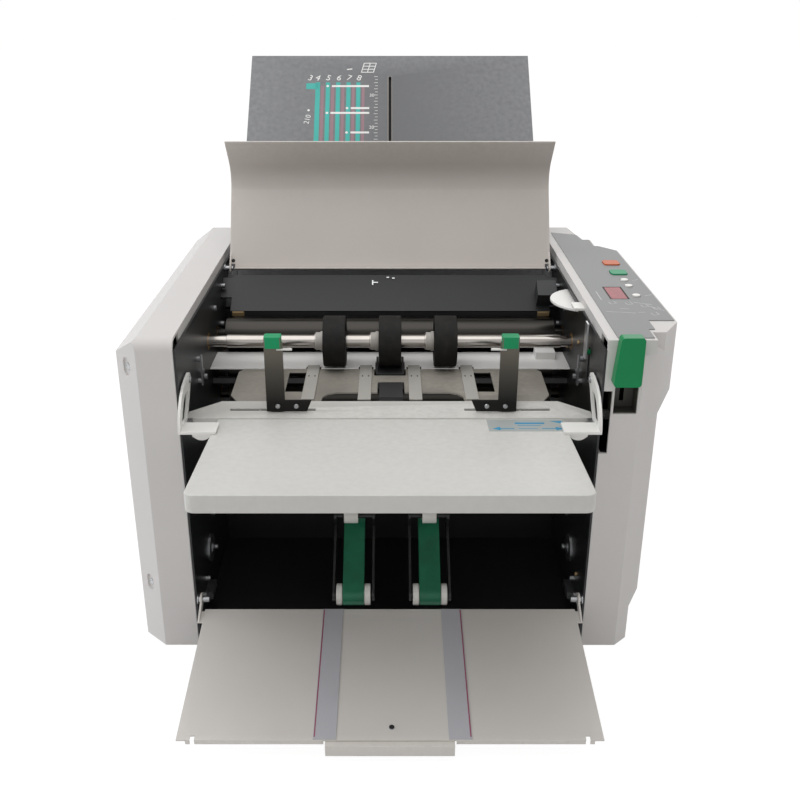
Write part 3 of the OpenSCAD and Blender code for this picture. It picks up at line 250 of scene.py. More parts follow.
def ground_rubber(name, colour, dust, grit_mm):
    """Rubber ground on its face: matt, with a dusting of paper fibre in the grinding lines."""
    material, tree = new_material(name)
    place = add(tree, "TexCoord").outputs["Object"]
    grit = add(tree, "TexNoise", {"Vector": place}, Scale=cells_per_metre(grit_mm), Detail=6,
               Roughness=0.7)
    lint = add(tree, "TexNoise", {"Vector": place}, Scale=cells_per_metre(9), Detail=4)
    tone = ramp(tree, lint.outputs["Fac"], [(0.45, colour), (0.85, dust)])
    bump = add(tree, "Bump", {"Height": grit.outputs["Fac"]}, Strength=0.5, Distance=0.0002)
    shader = add(tree, "BsdfPrincipled", {"Base Color": tone.outputs["Color"],
                                          "Normal": bump.outputs[0]}, IOR=1.52,
                 Roughness=0.62)
    shader.inputs["Specular IOR Level"].default_value = 0.18
    finish_surface(tree, shader)
    return material


def woven_belt():
    """Polyurethane over a weave that prints through: 0.9 mm threads, drawn at 1.8 mm."""
    material, tree = new_material("woven_conveyor_belt")
    place = add(tree, "TexCoord").outputs["Object"]
    warp = add(tree, "TexWave", {"Vector": place}, Scale=wave_scale(1.8), bands_direction="X")
    weft = add(tree, "TexWave", {"Vector": place}, Scale=wave_scale(1.8),
               bands_direction="DIAGONAL")
    cloth = add(tree, "Math", {0: warp.outputs["Fac"], 1: weft.outputs["Fac"]},
                operation="MULTIPLY")
    wear = add(tree, "TexNoise", {"Vector": place}, Scale=cells_per_metre(28), Detail=4)
    tone = ramp(tree, wear.outputs["Fac"], [(0.3, "#00583B"), (0.75, "#027150")])
    bump = add(tree, "Bump", {"Height": cloth.outputs[0]}, Strength=0.35, Distance=0.0001)
    shader = add(tree, "BsdfPrincipled", {"Base Color": tone.outputs["Color"],
                                          "Normal": bump.outputs[0]}, IOR=1.5, Roughness=0.5)
    finish_surface(tree, shader)
    return material


def tinted_acrylic():
    """Red acrylic over an unlit display: satin gloss, with a faint drift of tone behind it."""
    material, tree = new_material("red_display_acrylic")
    place = add(tree, "TexCoord").outputs["Object"]
    haze = add(tree, "TexNoise", {"Vector": place}, Scale=cells_per_metre(12), Detail=2)
    tone = ramp(tree, haze.outputs["Fac"], [(0.3, "#86101E"), (0.7, "#961A28")])
    shader = add(tree, "BsdfPrincipled", {"Base Color": tone.outputs["Color"]}, IOR=1.49,
                 Roughness=0.25)
    shader.inputs["Specular IOR Level"].default_value = 0.22
    finish_surface(tree, shader)
    return material


FENCE_FOOT = 249         # height at which the fences' sheets start


def bronzed_sheet_painted_shade():
    """Bronzed sheet steel with painted shade and reflection: near black at the foot and paler
    towards the grip.
    """
    material, tree = new_material("bronzed_fence_sheet_painted_shade")
    place = add(tree, "TexCoord").outputs["Object"]
    height = add(tree, "SeparateXYZ", {"Vector": place}).outputs["Z"]
    # Painted shade and reflection: the colour darkens towards the foot and pales towards the grip,
    # by height alone.
    level = add(tree, "MapRange", {"Value": height}, From_Min=FENCE_FOOT / 1000,
                From_Max=0.318)
    tone = ramp(tree, level.outputs[0], [(0.14, "#161514"), (0.26, "#2E2C29"),
                                         (0.62, "#4E4B45"), (1.0, "#6E6960")])
    grain = add(tree, "TexNoise", {"Vector": place}, Scale=cells_per_metre(1.2), Detail=4)
    bump = add(tree, "Bump", {"Height": grain.outputs["Fac"]}, Strength=0.2, Distance=0.00002)
    shader = add(tree, "BsdfPrincipled", {"Base Color": tone.outputs["Color"],
                                          "Normal": bump.outputs[0]}, Metallic=0.6,
                 Roughness=0.42)
    finish_surface(tree, shader)
    return material


FINISHES = {
    # Spark-eroded ABS: a fine even grain and a dull sheen.
    "cover_abs": coated_sheet("textured_abs_cover", "#D2CFCD", "#D0CDCB", 0.5, 0.7, 0.04),
    "slot_liner": coated_sheet("moulded_slot_liner", "#4A4843", "#403E3A", 0.55, 0.8, 0.05),
    "black_plastic": coated_sheet("black_moulding", "#27282A", "#1F2022", 0.45, 0.7, 0.05),
    "separator": coated_sheet("separator_moulding", "#2B2B2C", "#232324", 0.5, 0.7, 0.05),
    "stop_dark": coated_sheet("dark_nylon_stop", "#3B3D40", "#333538", 0.45, 0.8, 0.05),
    # Stoved enamel on sheet steel: smooth, with a slight orange peel.
    "hood_enamel": coated_sheet("hood_enamel", "#C4BDB7", "#C1BAB4", 0.38, 2.5, 0.03,
                                worn="#E4E0DA"),
    "table_enamel": coated_sheet("table_enamel", "#C9C8C4", "#C6C5C1", 0.4, 2.2, 0.03,
                                 worn="#EFEEEA"),
    "arm_enamel": coated_sheet("arm_enamel", "#EDECE8", "#E6E5E1", 0.35, 2.2, 0.03),
    "lift_enamel": coated_sheet("lift_plate_enamel", "#87837B", "#817D75", 0.36, 2.2, 0.03,
                                worn="#A8A39A"),
    "ramp_enamel": coated_sheet("ramp_enamel", "#C7C6C1", "#BFBEB9", 0.38, 2.2, 0.03,
                                worn="#E4E3DF"),
    "tray_enamel": coated_sheet("tray_enamel", "#D5D1CC", "#D2CDC8", 0.36, 2.2, 0.03,
                                worn="#E6E2DB"),
    "plate_paint": coated_sheet("fold_plate_paint", "#646567", "#636466", 0.56, 1.6, 0.01,
                                worn="#A4A5A8"),
    "rail_steel": coated_sheet("plate_rail_paint", "#4A4B4E", "#434447", 0.42, 1.6, 0.04),
    "guard_paint": coated_sheet("roller_guard_paint", "#1C1D1E", "#191A1B", 0.42, 1.6, 0.04,
                                0.35),
    "bracket_steel": coated_sheet("bracket_paint", "#5A5C60", "#505256", 0.42, 1.6, 0.04),
    # Satin powder coat and motor paint: a finer and deeper texture than enamel.
    "frame_paint": coated_sheet("frame_powder_coat", "#161614", "#131311", 0.36, 1.2, 0.06, 0.35,
                                worn="#3B3D42"),
    "pan_paint": coated_sheet("pan_powder_coat", "#131314", "#101011", 0.5, 1.2, 0.06),
    "motor_case": coated_sheet("motor_enamel", "#35373B", "#2C2E32", 0.4, 1.4, 0.04),
    # Moulded plastics from polished tools, a printed film and a circuit board: smooth skins.
    "lever_green": coated_sheet("green_lever_abs", "#00864E", "#007F49", 0.34, 1.5, 0.02, 0.25),
    "button_green": coated_sheet("green_button_abs", "#2C9468", "#268B61", 0.4, 1.0, 0.02, 0.2),
    "button_orange": coated_sheet("orange_button_abs", "#CE6E45", "#C5653D", 0.4, 1.0, 0.02,
                                  0.2),
    "button_white": coated_sheet("white_button_abs", "#F1F0EC", "#E9E8E4", 0.35, 1.0, 0.02),
    "dial_white": coated_sheet("white_dial_abs", "#EDECE9", "#E4E3E0", 0.38, 1.2, 0.02),
    "wheel_white": coated_sheet("white_acetal", "#E9E7E2", "#DEDCD6", 0.35, 1.0, 0.02),
    "skid_plastic": coated_sheet("skid_nylon", "#B4B2AC", "#AAA8A2", 0.3, 1.5, 0.02),
    "strip_grey": coated_sheet("slide_strip", "#BBBBC0", "#B5B5BA", 0.35, 1.2, 0.02),
    "overlay_film": coated_sheet("printed_polyester", "#818282", "#7E7F7F", 0.48, 0.6, 0.02),
    "board": coated_sheet("circuit_laminate", "#2C5A3E", "#244D34", 0.3, 1.0, 0.02),
    "window_red": tinted_acrylic(),
    # Rubber and woven belts: dull, with a patchy film of dust or wear.
    "foot_rubber": ground_rubber("moulded_foot_rubber", "#232323", "#3A3A38", 0.8),
    "drive_rubber": ground_rubber("drive_belt_rubber", "#1D1D1D", "#2C2C2B", 0.6),
    "tyre_rubber": ground_rubber("ground_tyre_rubber", "#131211", "#23211F", 0.5),
    "belt_green": woven_belt(),
    "roller_steel": knurled_steel(),
    # Plated and ground metals: sheet has its rolling marks along x, a shaft has them round it.
    "zinc_steel": bare_metal("zinc_plated_steel", "#C4C5C6", "#AEB0B1", 0.34, (8, 1, 1), 0.02),
    "chrome_shaft": bare_metal("ground_chrome_shaft", "#A8A39E", "#9D9893", 0.2, (0.6, 9, 9),
                               0.01),
    # Bright coated sheet, and bronzed sheet whose colour carries a painted gradient of shade and
    # reflection up its height.
    "guide_steel": coated_sheet("bright_guide_sheet", "#F7F6F4", "#F3F2F0", 0.4, 1.6, 0.03),
    "fence_steel": bronzed_sheet_painted_shade(),
    # Porous bushes with an even grain, and pins with turning marks.
    "bronze": bare_metal("sintered_bronze", "#B08D57", "#9C7B48", 0.45, (0.6, 0.6, 0.6), 0.03),
    "turned_fittings": bare_metal("turned_steel", "#A3A4A6", "#8F9092", 0.34, (0.5, 4, 4),
                                  0.02),
}

# Screen inks, film and other finishes of the pieces that are added below.
WHITE_INK = coated_sheet("white_screen_ink", "#EFEFEC", "#E6E6E3", 0.55, 0.8, 0.02)
TEAL_INK = coated_sheet("teal_screen_ink", "#3DB1A8", "#37A99F", 0.55, 0.8, 0.02)
ROSE_INK = coated_sheet("rose_screen_ink", "#9A5068", "#93495F", 0.55, 0.8, 0.02)
RIM_INK = coated_sheet("pale_slot_edge_line", "#9B948B", "#8E877E", 0.5, 0.8, 0.02)
PALE_INK = coated_sheet("pale_grey_ink", "#C4C4C5", "#BEBEBF", 0.55, 0.8, 0.02)
BLUE_INK = coated_sheet("blue_screen_ink", "#2E93BE", "#2A8AB3", 0.55, 0.8, 0.02)
LABEL_FILM = coated_sheet("pale_label_film", "#A9AFAD", "#A5ABA9", 0.45, 0.8, 0.02)
DULL_ROSE = coated_sheet("dull_rose_ink", "#97767F", "#917079", 0.55, 0.8, 0.02)
DARK_HOLE = coated_sheet("shadowed_hole", "#151515", "#101010", 0.8, 1.0, 0.02)
GRIP_GREEN = coated_sheet("green_grip_abs", "#0A9A64", "#07905C", 0.36, 1.2, 0.02, 0.3)
BRASS = bare_metal("turned_brass", "#B9A07A", "#A08A66", 0.36, (0.5, 4, 4), 0.02)
COLLAR_WHITE = coated_sheet("white_collar_nylon", "#B9B5AF", "#AFABA5", 0.5, 0.9, 0.04)

for row in frame["record"]["subparts"]:
    node = NODES[row["node"]]
    node.data.materials.clear()
    node.data.materials.append(FINISHES[row["material_slot"]])

# Width in mm of the rounding on the edges of the pieces; the rest get FINE_EDGE.
FINE_EDGE = 0.25
EDGES = {
    "left_cover": 1.2, "right_cover": 1.2, "rear_cover": 0.6, "feed_table": 0.9, "table_arms": 0.7,
    "delivery_tray": 0.5, "tray_extension": 0.4, "table_lever": 1.6,
    "feed_tyres": 1.5, "stacker_wheels": 0.8, "pinch_wheels": 0.8, "separator_dial": 0.8,
    "start_button": 0.5, "stop_button": 0.5, "power_inlet": 0.5, "rubber_feet": 1.0,
    "upper_plate_front": 0.4, "upper_plate_back": 0.4, "lever_guide": 0.3,
}


def soften(piece, width_mm):
    """Rounds the edges of a piece and shades its curves smooth."""
    stored = piece.data.attributes.get("custom_normal")
    if stored:
        piece.data.attributes.remove(stored)
    piece.data.shade_smooth()
    weld = piece.modifiers.new("weld", "WELD")
    weld.merge_threshold = 1e-6
    flat = piece.modifiers.new("flat_faces", "DECIMATE")
    flat.decimate_type = "DISSOLVE"
    flat.angle_limit = math.radians(0.5)
    bevel = piece.modifiers.new("edges", "BEVEL")
    bevel.width = width_mm / 1000
    bevel.segments = 2
    bevel.limit_method = "ANGLE"
    bevel.angle_limit = math.radians(30)
    bevel.harden_normals = True
    bevel.use_clamp_overlap = True


for name, node in NODES.items():
    soften(node, EDGES.get(name, FINE_EDGE))


# ---------- studio ----------


def camera_or_mirror(tree):
    """One for what the camera sees straight or in a mirror, else zero."""
    path = add(tree, "LightPath")
    seen = path.outputs["Is Camera Ray"]
    for ray in ("Is Glossy Ray", "Is Transmission Ray"):
        seen = add(tree, "Math", {0: seen, 1: path.outputs[ray]}, operation="MAXIMUM").outputs[0]
    return seen


FLOOR_HALF = 9           # metres
WHITE_SHARE = 0.85       # of the floor's look to the camera; the rest is lit and holds the shadow


def studio():
    """A white floor and an even pale fill."""
    floor_mesh = bpy.data.meshes.new("studio_floor")
    shape = bmesh.new()
    bmesh.ops.create_grid(shape, x_segments=1, y_segments=1, size=FLOOR_HALF)
    shape.to_mesh(floor_mesh)
    shape.free()
    floor = bpy.data.objects.new("studio_floor", floor_mesh)
    bpy.context.scene.collection.objects.link(floor)
    material, tree = new_material("white_studio_floor")
    lit = add(tree, "BsdfPrincipled", Base_Color=linear("#F2F2F2"), Roughness=0.8)
    white = add(tree, "Emission", Color=(1, 1, 1, 1), Strength=1.12)
    seen = camera_or_mirror(tree)
    share = add(tree, "Math", {0: seen}, operation="MULTIPLY")
    share.inputs[1].default_value = WHITE_SHARE
    mix = add(tree, "MixShader", {0: share.outputs[0], 1: lit.outputs[0], 2: white.outputs[0]})
    add(tree, "OutputMaterial", {"Surface": mix.outputs[0]})
    floor_mesh.materials.append(material)

    world = bpy.data.worlds.new("studio_world")
    world.use_nodes = True
    bpy.context.scene.world = world
    tree = world.node_tree
    tree.nodes.clear()
    fill = add(tree, "Background", Color=(1, 0.985, 0.97, 1), Strength=0.48)
    white = add(tree, "Background", Color=(1, 1, 1, 1), Strength=1)
    seen = camera_or_mirror(tree)
    mix = add(tree, "MixShader", {0: seen, 1: fill.outputs[0], 2: white.outputs[0]})
    add(tree, "OutputWorld", {"Surface": mix.outputs[0]})


studio()


# ---------- small pieces ----------


def piece(name, body, slot, material, build, place=Matrix(), edge=0.0):
    """Makes a piece from build(shape), drawn in mm in its own frame, and puts it at place."""
    mesh = bpy.data.meshes.new(name)
    shape = bmesh.new()
    build(shape)
    bmesh.ops.remove_doubles(shape, verts=shape.verts, dist=1e-5)
    bmesh.ops.recalc_face_normals(shape, faces=shape.faces)
    bmesh.ops.scale(shape, vec=(0.001, 0.001, 0.001), verts=shape.verts)
    bmesh.ops.transform(shape, matrix=place, verts=shape.verts)
    shape.to_mesh(mesh)
    shape.free()
    thing = bpy.data.objects.new(name, mesh)
    bpy.context.scene.collection.objects.link(thing)
    mesh.materials.append(material)
    if edge:
        soften(thing, edge)
    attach(thing, body)
    return thing


def prism(shape, outline, z0, z1):
    """A closed prism over an x-y outline."""
    low = [shape.verts.new((x, y, z0)) for x, y in outline]
    high = [shape.verts.new((x, y, z1)) for x, y in outline]
    shape.faces.new(low[::-1])
    shape.faces.new(high)
    for i in range(len(outline)):
        j = (i + 1) % len(outline)
        shape.faces.new((low[i], low[j], high[j], high[i]))


def rectangle(x0, x1, y0, y1):
    """The outline of a rectangle."""
    return [(x0, y0), (x1, y0), (x1, y1), (x0, y1)]


def line_outline(a, b, width):
    """The outline of a straight stroke from a to b."""
    along = Vector(b) - Vector(a)
    side = Vector((-along.y, along.x)).normalized() * width / 2
    return [tuple(Vector(a) + side), tuple(Vector(a) - side), tuple(Vector(b) - side),
            tuple(Vector(b) + side)]


def round_outline(x, y, radius, steps=20):
    """The outline of a dot."""
    turns = [i * math.tau / steps for i in range(steps)]
    return [(x + radius * math.cos(turn), y + radius * math.sin(turn)) for turn in turns]


ON_AXIS = 1e-6           # a radius below this is a point on the axis


def lathe(shape, profile, steps=32):
    """Turns a closed (radius, height) profile about z."""
    rings = []
    for i in range(steps):
        c, s = math.cos(i * math.tau / steps), math.sin(i * math.tau / steps)
        rings.append([shape.verts.new((r * c, r * s, h)) for r, h in profile])
    for i in range(steps):
        a, b = rings[i], rings[(i + 1) % steps]
        for j in range(len(profile)):
            k = (j + 1) % len(profile)
            corners = [a[j], b[j], b[k], a[k]]
            starts, ends = profile[j][0] < ON_AXIS, profile[k][0] < ON_AXIS
            if starts and ends:
                continue
            if starts:
                corners = [a[j], b[k], a[k]]
            elif ends:
                corners = [a[j], b[j], a[k]]
            shape.faces.new(corners)


def facing(place, normal, turn=0.0):
    """The matrix that stands a piece's z axis on a surface at place, along its normal."""
    return (Matrix.Translation(place) @ Vector(normal).to_track_quat("Z", "Y").to_matrix().to_4x4()
            @ Matrix.Rotation(turn, 4, "Z"))


FOOT = 0.2               # how deep screws and studs are set into what carries them


def screw_head(radius, cross=False):
    """A domed head with a real slot or cross: a disc, with raised lands beside the slot."""
    base, crown = 0.35 * radius, 0.65 * radius
    half_slot, rim = 0.14 * radius, 0.96 * radius
    lands = 4 if cross else 2
    spread = math.tau / lands
    gap = math.asin(half_slot / rim)
    slope = 0.8              # size of a land's top, to its foot

    def build(shape):
        lathe(shape, [(0, -FOOT), (radius, -FOOT), (radius, base), (0, base)], 28)
        for land in range(lands):
            start, end = land * spread + gap, (land + 1) * spread - gap
            turns = [start + (end - start) * i / 10 for i in range(11)]
            outline = [(rim * math.cos(turn), rim * math.sin(turn)) for turn in turns]
            pull = (0, outline[0][1])
            if cross:
                middle = (start + end) / 2
                pull = (half_slot * 1.42 * math.cos(middle), half_slot * 1.42 * math.sin(middle))
                outline.append(pull)
            low = [shape.verts.new((x, y, base)) for x, y in outline]
            top = [shape.verts.new((x * slope + pull[0] * (1 - slope),
                                    y * slope + pull[1] * (1 - slope), crown))
                   for x, y in outline]
            shape.faces.new(low[::-1])
            shape.faces.new(top)
            for i in range(len(outline)):
                j = (i + 1) % len(outline)
                shape.faces.new((low[i], low[j], top[j], top[i]))
    return build


FRAME_IN = 196           # x of a side frame's inner face


def wall_screw(name, side, y, z, radius, material, turn):
    """A screw head on a frame's inner face, every second one with a cross."""
    piece(name, "chassis", "turned_fittings", material, screw_head(radius, cross=turn % 2 == 0),
          facing(at(side * FRAME_IN, y, z), (-side, 0, 0), 0.5 * turn))


def wall_stud(name, side, y, z, radius, proud, material):
    """A turned stud with a chamfered end on a frame's inner face."""
    ring = 0.2 * radius
    piece(name, "chassis", "turned_fittings", material,
          lambda s: lathe(s, [(0, -FOOT), (radius, -FOOT), (radius, proud - ring),
                              (radius - ring, proud), (0, proud)], 24),
          facing(at(side * FRAME_IN, y, z), (-side, 0, 0)))


# Screws on the frames' inner faces: side, y, z, head radius.
WALL_SCREWS = [(-1, 186, 265, 2.6), (1, 182, 265, 2.6), (1, 123, 290, 2.4), (-1, 60, 150, 3),
               (1, 60, 150, 3), (-1, 110, 190, 2.4), (1, 110, 190, 2.4), (-1, 40, 236, 2.2),
               (1, 40, 236, 2.2)]
for i, (side, y, z, radius) in enumerate(WALL_SCREWS):
    wall_screw(f"wall_screw_{i}", side, y, z, radius, BRASS, i)
for side, word in ((-1, "left"), (1, "right")):
    wall_stud(f"{word}_ramp_nut", side, 224, 207, 3.6, 6, BRASS)
    wall_stud(f"{word}_bay_boss", side, 104, 56, 7.5, 2.5, FINISHES["pan_paint"])
    wall_stud(f"{word}_bay_stud", side, 104, 56, 3, 5, FINISHES["zinc_steel"])
    wall_stud(f"{word}_bay_pin", side, 50, 50, 2.4, 5, FINISHES["zinc_steel"])
wall_stud("right_bay_screw", 1, 41, 61, 2.2, 2, BRASS)


def cuboid(name, body, slot, material, x, y, z, edge, frame):
    """A box between pairs of x, y and z, drawn in a frame, with rounded edges."""
    piece(name, body, slot, material, lambda s: prism(s, rectangle(*x, *y), *z), frame,
          edge=edge)


MACHINE = Matrix.Translation(at(0, 0, 0))
# A plated face on the lever's inner strap and a white cap on the dial's bracket.
cuboid("lever_strap_plating", "table_lever", "lever_green", FINISHES["zinc_steel"],
       (190.85, 192.65), (62.85, 73.15), (293.85, 330.15), 0.2, MACHINE)
cuboid("dial_bracket_cap", "chassis", "bracket_steel", FINISHES["arm_enamel"],
       (187.6, 198.4), (117.6, 138.4), (325.8, 328.8), 0.5, MACHINE)


# ---------- roller guard ----------

GUARD_Y, GUARD_Z = 238, 286                  # the guard's front lower edge
GUARD_LEAN = 33.5                            # degrees
GUARD_TOP = 1.5                              # its upper face, above the edge's line
for name, x in (("left", (-181, -167)), ("right", (169, 182.6))):
    cuboid(name + "_guard_block", "chassis", "guard_paint", BRASS, x,
           (GUARD_Y - 1.6, GUARD_Y + 0.4), (GUARD_Z - 5.4, GUARD_Z + 0.4), 0.5, MACHINE)
guard_frame = (Matrix.Translation(at(0, GUARD_Y, GUARD_Z))
               @ Matrix.Rotation(math.radians(GUARD_LEAN), 4, "X"))
# Both ends of each clip in x and up the guard's slope. Each is a little higher than the last,
# because the first two cross.
GUARD_CLIPS = [((-21, -14), (41, 42.6)), ((-21, -19.4), (38, 45)), ((-4, -1), (48.4, 50.2)),
               ((2.5, 5.5), (47, 49))]
for i, (x, y) in enumerate(GUARD_CLIPS):
    cuboid(f"guard_clip_{i}", "chassis", "guard_paint", FINISHES["zinc_steel"], x, y,
           (GUARD_TOP - 0.1, GUARD_TOP + 1 + 0.1 * i), 0.15, guard_frame)


# ---------- fences ----------

FENCE_X, FENCE_Y = 117, 38
FENCE_TOP = 315
GRIP_ROUND = 1.7         # radius of the grip's corners


def grip(shape):
    """Rounded grip over the bent top of a fence."""
    outline = []
    for x, y, first in ((0.9, 7.5, 0), (-11.9, 7.5, 90), (-11.9, -1.5, 180), (0.9, -1.5, 270)):
        turns = [math.radians(first + a) for a in (0, 30, 60, 90)]
        outline += [(x + GRIP_ROUND * math.cos(turn), y + GRIP_ROUND * math.sin(turn))
                    for turn in turns]
    prism(shape, outline, -0.2, 11.3)


# In the photograph the right fence stands 3 mm further out than the left one.
for sign, side, shift in ((1, "right", 3), (-1, "left", 0)):
    body = side + "_fence"
    flip = Matrix.Scale(sign, 4, (1, 0, 0))
    top = Matrix.Translation(at(sign * FENCE_X + shift, FENCE_Y, FENCE_TOP)) @ flip
    piece(body + "_grip", body, "fence_steel", GRIP_GREEN, grip, top, edge=0.7)
    foot = Matrix.Translation(at(sign * FENCE_X + shift, FENCE_Y, FENCE_FOOT)) @ flip
    piece(body + "_tab", body, "fence_steel", FINISHES["arm_enamel"],
          lambda s: prism(s, [(-24, -1), (-9, -1), (-9, 1.2), (-22, 2.6), (-24, 1.2)], 63.5, 65),
          foot, edge=0.2)
    for i, x in enumerate((-8, -26)):
        piece(f"{body}_screw_{i}", body, "fence_steel", FINISHES["zinc_steel"],
              screw_head(2.3, cross=True),
              facing(at(sign * (FENCE_X + x) + shift, FENCE_Y - 0.7, FENCE_FOOT + 6),
                     (0, -1, 0), 0.4 + i))


# ---------- feed shaft, skids and lift plate ----------

TYRE_PITCH = 59.5
TYRE_HALF = 12           # half a tyre's width
FEED_Y, FEED_Z = 165, 276.5
# A stepped collar at the left of each tyre.
for i in (-1, 0, 1):
    piece(f"feed_collar_{i + 2}", "feed_shaft", "wheel_white", COLLAR_WHITE,
          lambda s: lathe(s, [(8.6, 0), (10.2, 0), (10.6, 0.5), (10.6, 3.2), (9.6, 3.6),
                              (9.6, 8.2), (9.2, 8.6), (8.6, 8.6)]),
          facing(at(i * TYRE_PITCH - TYRE_HALF - 0.2, FEED_Y, FEED_Z), (-1, 0, 0)))

SKIDS = (-83, -26, 26, 83)
SKID_HOLE_Y = 133
SKID_TOP = 248.6
SUNK = 0.02              # thin dark or printed shapes are sunk by this, so that no gap shows
# Dark film on the skids where their holes are: painted shade in place of open holes.
for i, x in enumerate(SKIDS):
    for j, dx in enumerate((-3.2, 3.2)):
        piece(f"skid_hole_shade_{i}_{j}", "lift_plate", "skid_plastic", DARK_HOLE,
              lambda s: prism(s, rectangle(-0.7, 0.7, -1.6, 1.6), 0, 0.1),
              Matrix.Translation(at(x + dx, SKID_HOLE_Y, SKID_TOP - SUNK)))


# ---------- hood ----------

HOOD_HALF = 190          # half its width
HOOD_L, FLARE_L = 116, 58                    # from the pins to the bend, and on to the edge
HOOD_LEAN = -28.7                            # degrees
FLARE_BEND = math.radians(70.9)
BEND_R = 30              # the sheet is rolled, not folded, into its flare
SHEET = 0.8              # half the sheet's thickness
RELIEF, RELIEF_TOP = 6, 5                    # width and height of the cuts beside the ears
HOOD_BORE = 3.05
EAR_R, EAR_TAIL = 6, 22
EAR_THICK = 2
hood_frame = (Matrix.Translation(at(0, 297, 321))
              @ Matrix.Rotation(math.radians(HOOD_LEAN), 4, "X"))


def hood_side(offset):
    """The sheet's section above the relief, y and z, offset from its middle plane."""
    tangent = BEND_R * math.tan(FLARE_BEND / 2)
    start = HOOD_L - tangent
    points = [(offset, RELIEF_TOP)]
    for i in range(17):
        turn = FLARE_BEND * i / 16
        points.append(((BEND_R + offset) * math.cos(turn) - BEND_R,
                       (BEND_R + offset) * math.sin(turn) + start))
    y, z = points[-1]
    left = FLARE_L - tangent
    points.append((y - left * math.sin(FLARE_BEND), z + left * math.cos(FLARE_BEND)))
    return points


def hood_sheet(shape):
    """Rolled sheet with a bottom lip that stops short of both pivot pins."""
    upper = hood_side(SHEET) + hood_side(-SHEET)[::-1]
    lower = [upper[-1], (-SHEET, -0.4), (-6, -0.4), (-6, -2), (SHEET, -2), upper[0]]
    inner = HOOD_HALF - RELIEF
    made = {}

    def corner(x, point):
        key = (x, point)
        if key not in made:
            made[key] = shape.verts.new((x, *point))
        return made[key]

    last = len(upper) - 2
    for i in range(last + 1):
        a, b = upper[i], upper[i + 1]
        face = [corner(-HOOD_HALF, a), corner(-HOOD_HALF, b)]
        face += [corner(-inner, b), corner(inner, b)] if i == last else []
        face += [corner(HOOD_HALF, b), corner(HOOD_HALF, a)]
        face += [corner(inner, a), corner(-inner, a)] if i == 0 else []
        shape.faces.new(face)
    for x in (-HOOD_HALF, HOOD_HALF):
        shape.faces.new([corner(x, point) for point in upper])
        near = math.copysign(inner, x)
        shape.faces.new([corner(x, upper[0]), corner(near, upper[0]), corner(near, upper[-1]),
                         corner(x, upper[-1])])
        shape.faces.new([corner(near, point) for point in lower])
    for a, b in zip(lower, lower[1:]):
        shape.faces.new([corner(-inner, a), corner(inner, a), corner(inner, b),
                         corner(-inner, b)])


def ear_reach(y, z):
    """How far the ear's rim is from the pin, in the direction (y, z)."""
    if z <= 1e-6:
        return EAR_R
    if abs(y) <= 0.03:
        return EAR_TAIL
    flank = EAR_TAIL * EAR_R / (EAR_TAIL * abs(y) + (EAR_R - SHEET) * z)
    return min(flank, EAR_TAIL / z)


def hood_ear(shape):
    """Pivot ear: a drilled disc with a tail that runs up the sheet's edge."""
    count = 32
    turns = [i * math.tau / count for i in range(count)]
    ways = [(math.cos(turn), math.sin(turn)) for turn in turns]
    rim = [(ear_reach(y, z) * y, ear_reach(y, z) * z) for y, z in ways]
    bore = [(HOOD_BORE * y, HOOD_BORE * z) for y, z in ways]
    faces = []
    for x in (0, EAR_THICK):
        faces += [[(x, *rim[i - 1]), (x, *rim[i]), (x, *bore[i]), (x, *bore[i - 1])]
                  for i in (*range(1, count), 0)]
    for ring in (rim, bore):
        faces += [[(0, *ring[i - 1]), (0, *ring[i]), (EAR_THICK, *ring[i]),
                   (EAR_THICK, *ring[i - 1])] for i in (*range(1, count), 0)]
    for face in faces:
        shape.faces.new([shape.verts.new(corner) for corner in face])


rolled_hood = piece("rolled_hood", "hood", "hood_enamel", FINISHES["hood_enamel"], hood_sheet,
                    hood_frame, edge=0.5)
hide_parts("hood")
for x, side in ((HOOD_HALF - EAR_THICK, "right"), (-HOOD_HALF, "left")):
    piece(side + "_hood_ear", "hood", "hood_enamel", FINISHES["hood_enamel"], hood_ear,
          hood_frame @ Matrix.Translation((x / 1000, 0, 0)), edge=0.2)
# Dark discs on the hood's lip where its holes show: painted shade, not cut holes.
for x, side in ((186, "right"), (-186, "left")):
    piece(side + "_hood_lip_hole_shade", "hood", "hood_enamel", DARK_HOLE,
          lambda s: lathe(s, [(0, 0), (2.2, 0), (2.2, 0.15), (0, 0.15)], 20),
          hood_frame @ Matrix.Translation(Vector((x, -0.9, 9)) / 1000)
          @ Matrix.Rotation(math.radians(90), 4, "X"))


# ---------- printed scale of the upper fold plate ----------

UPPER_LEAN = 45          # degrees
PLATE_TOP = 2.7          # outer face of the front sheet above the plate's middle
BACK_SHEET = -1.2        # inner face of the back sheet
INK = 0.06               # ink drawn this thick, so that it shows
FONT_SCALE = 1.4         # font size per height of a digit
plate_frame = (Matrix.Translation(at(0, 264, 254))
               @ Matrix.Rotation(math.radians(UPPER_LEAN), 4, "X"))


def on_plate(build, name, ink):
    """A print on the fold plate, drawn with x across it and y up its slope."""
    piece(name, "chassis", "plate_paint", ink, build, plate_frame)


def printed(outlines, low, high):
    """Builds the ink inside some outlines, from low to high."""
    def build(shape):
        for outline in outlines:
            prism(shape, outline, low, high)
    return build


def strokes(outlines, lift=0.0):
    """Ink on the fold plate; lift puts one ink over another."""
    return printed(outlines, PLATE_TOP + lift - SUNK, PLATE_TOP + lift + INK)


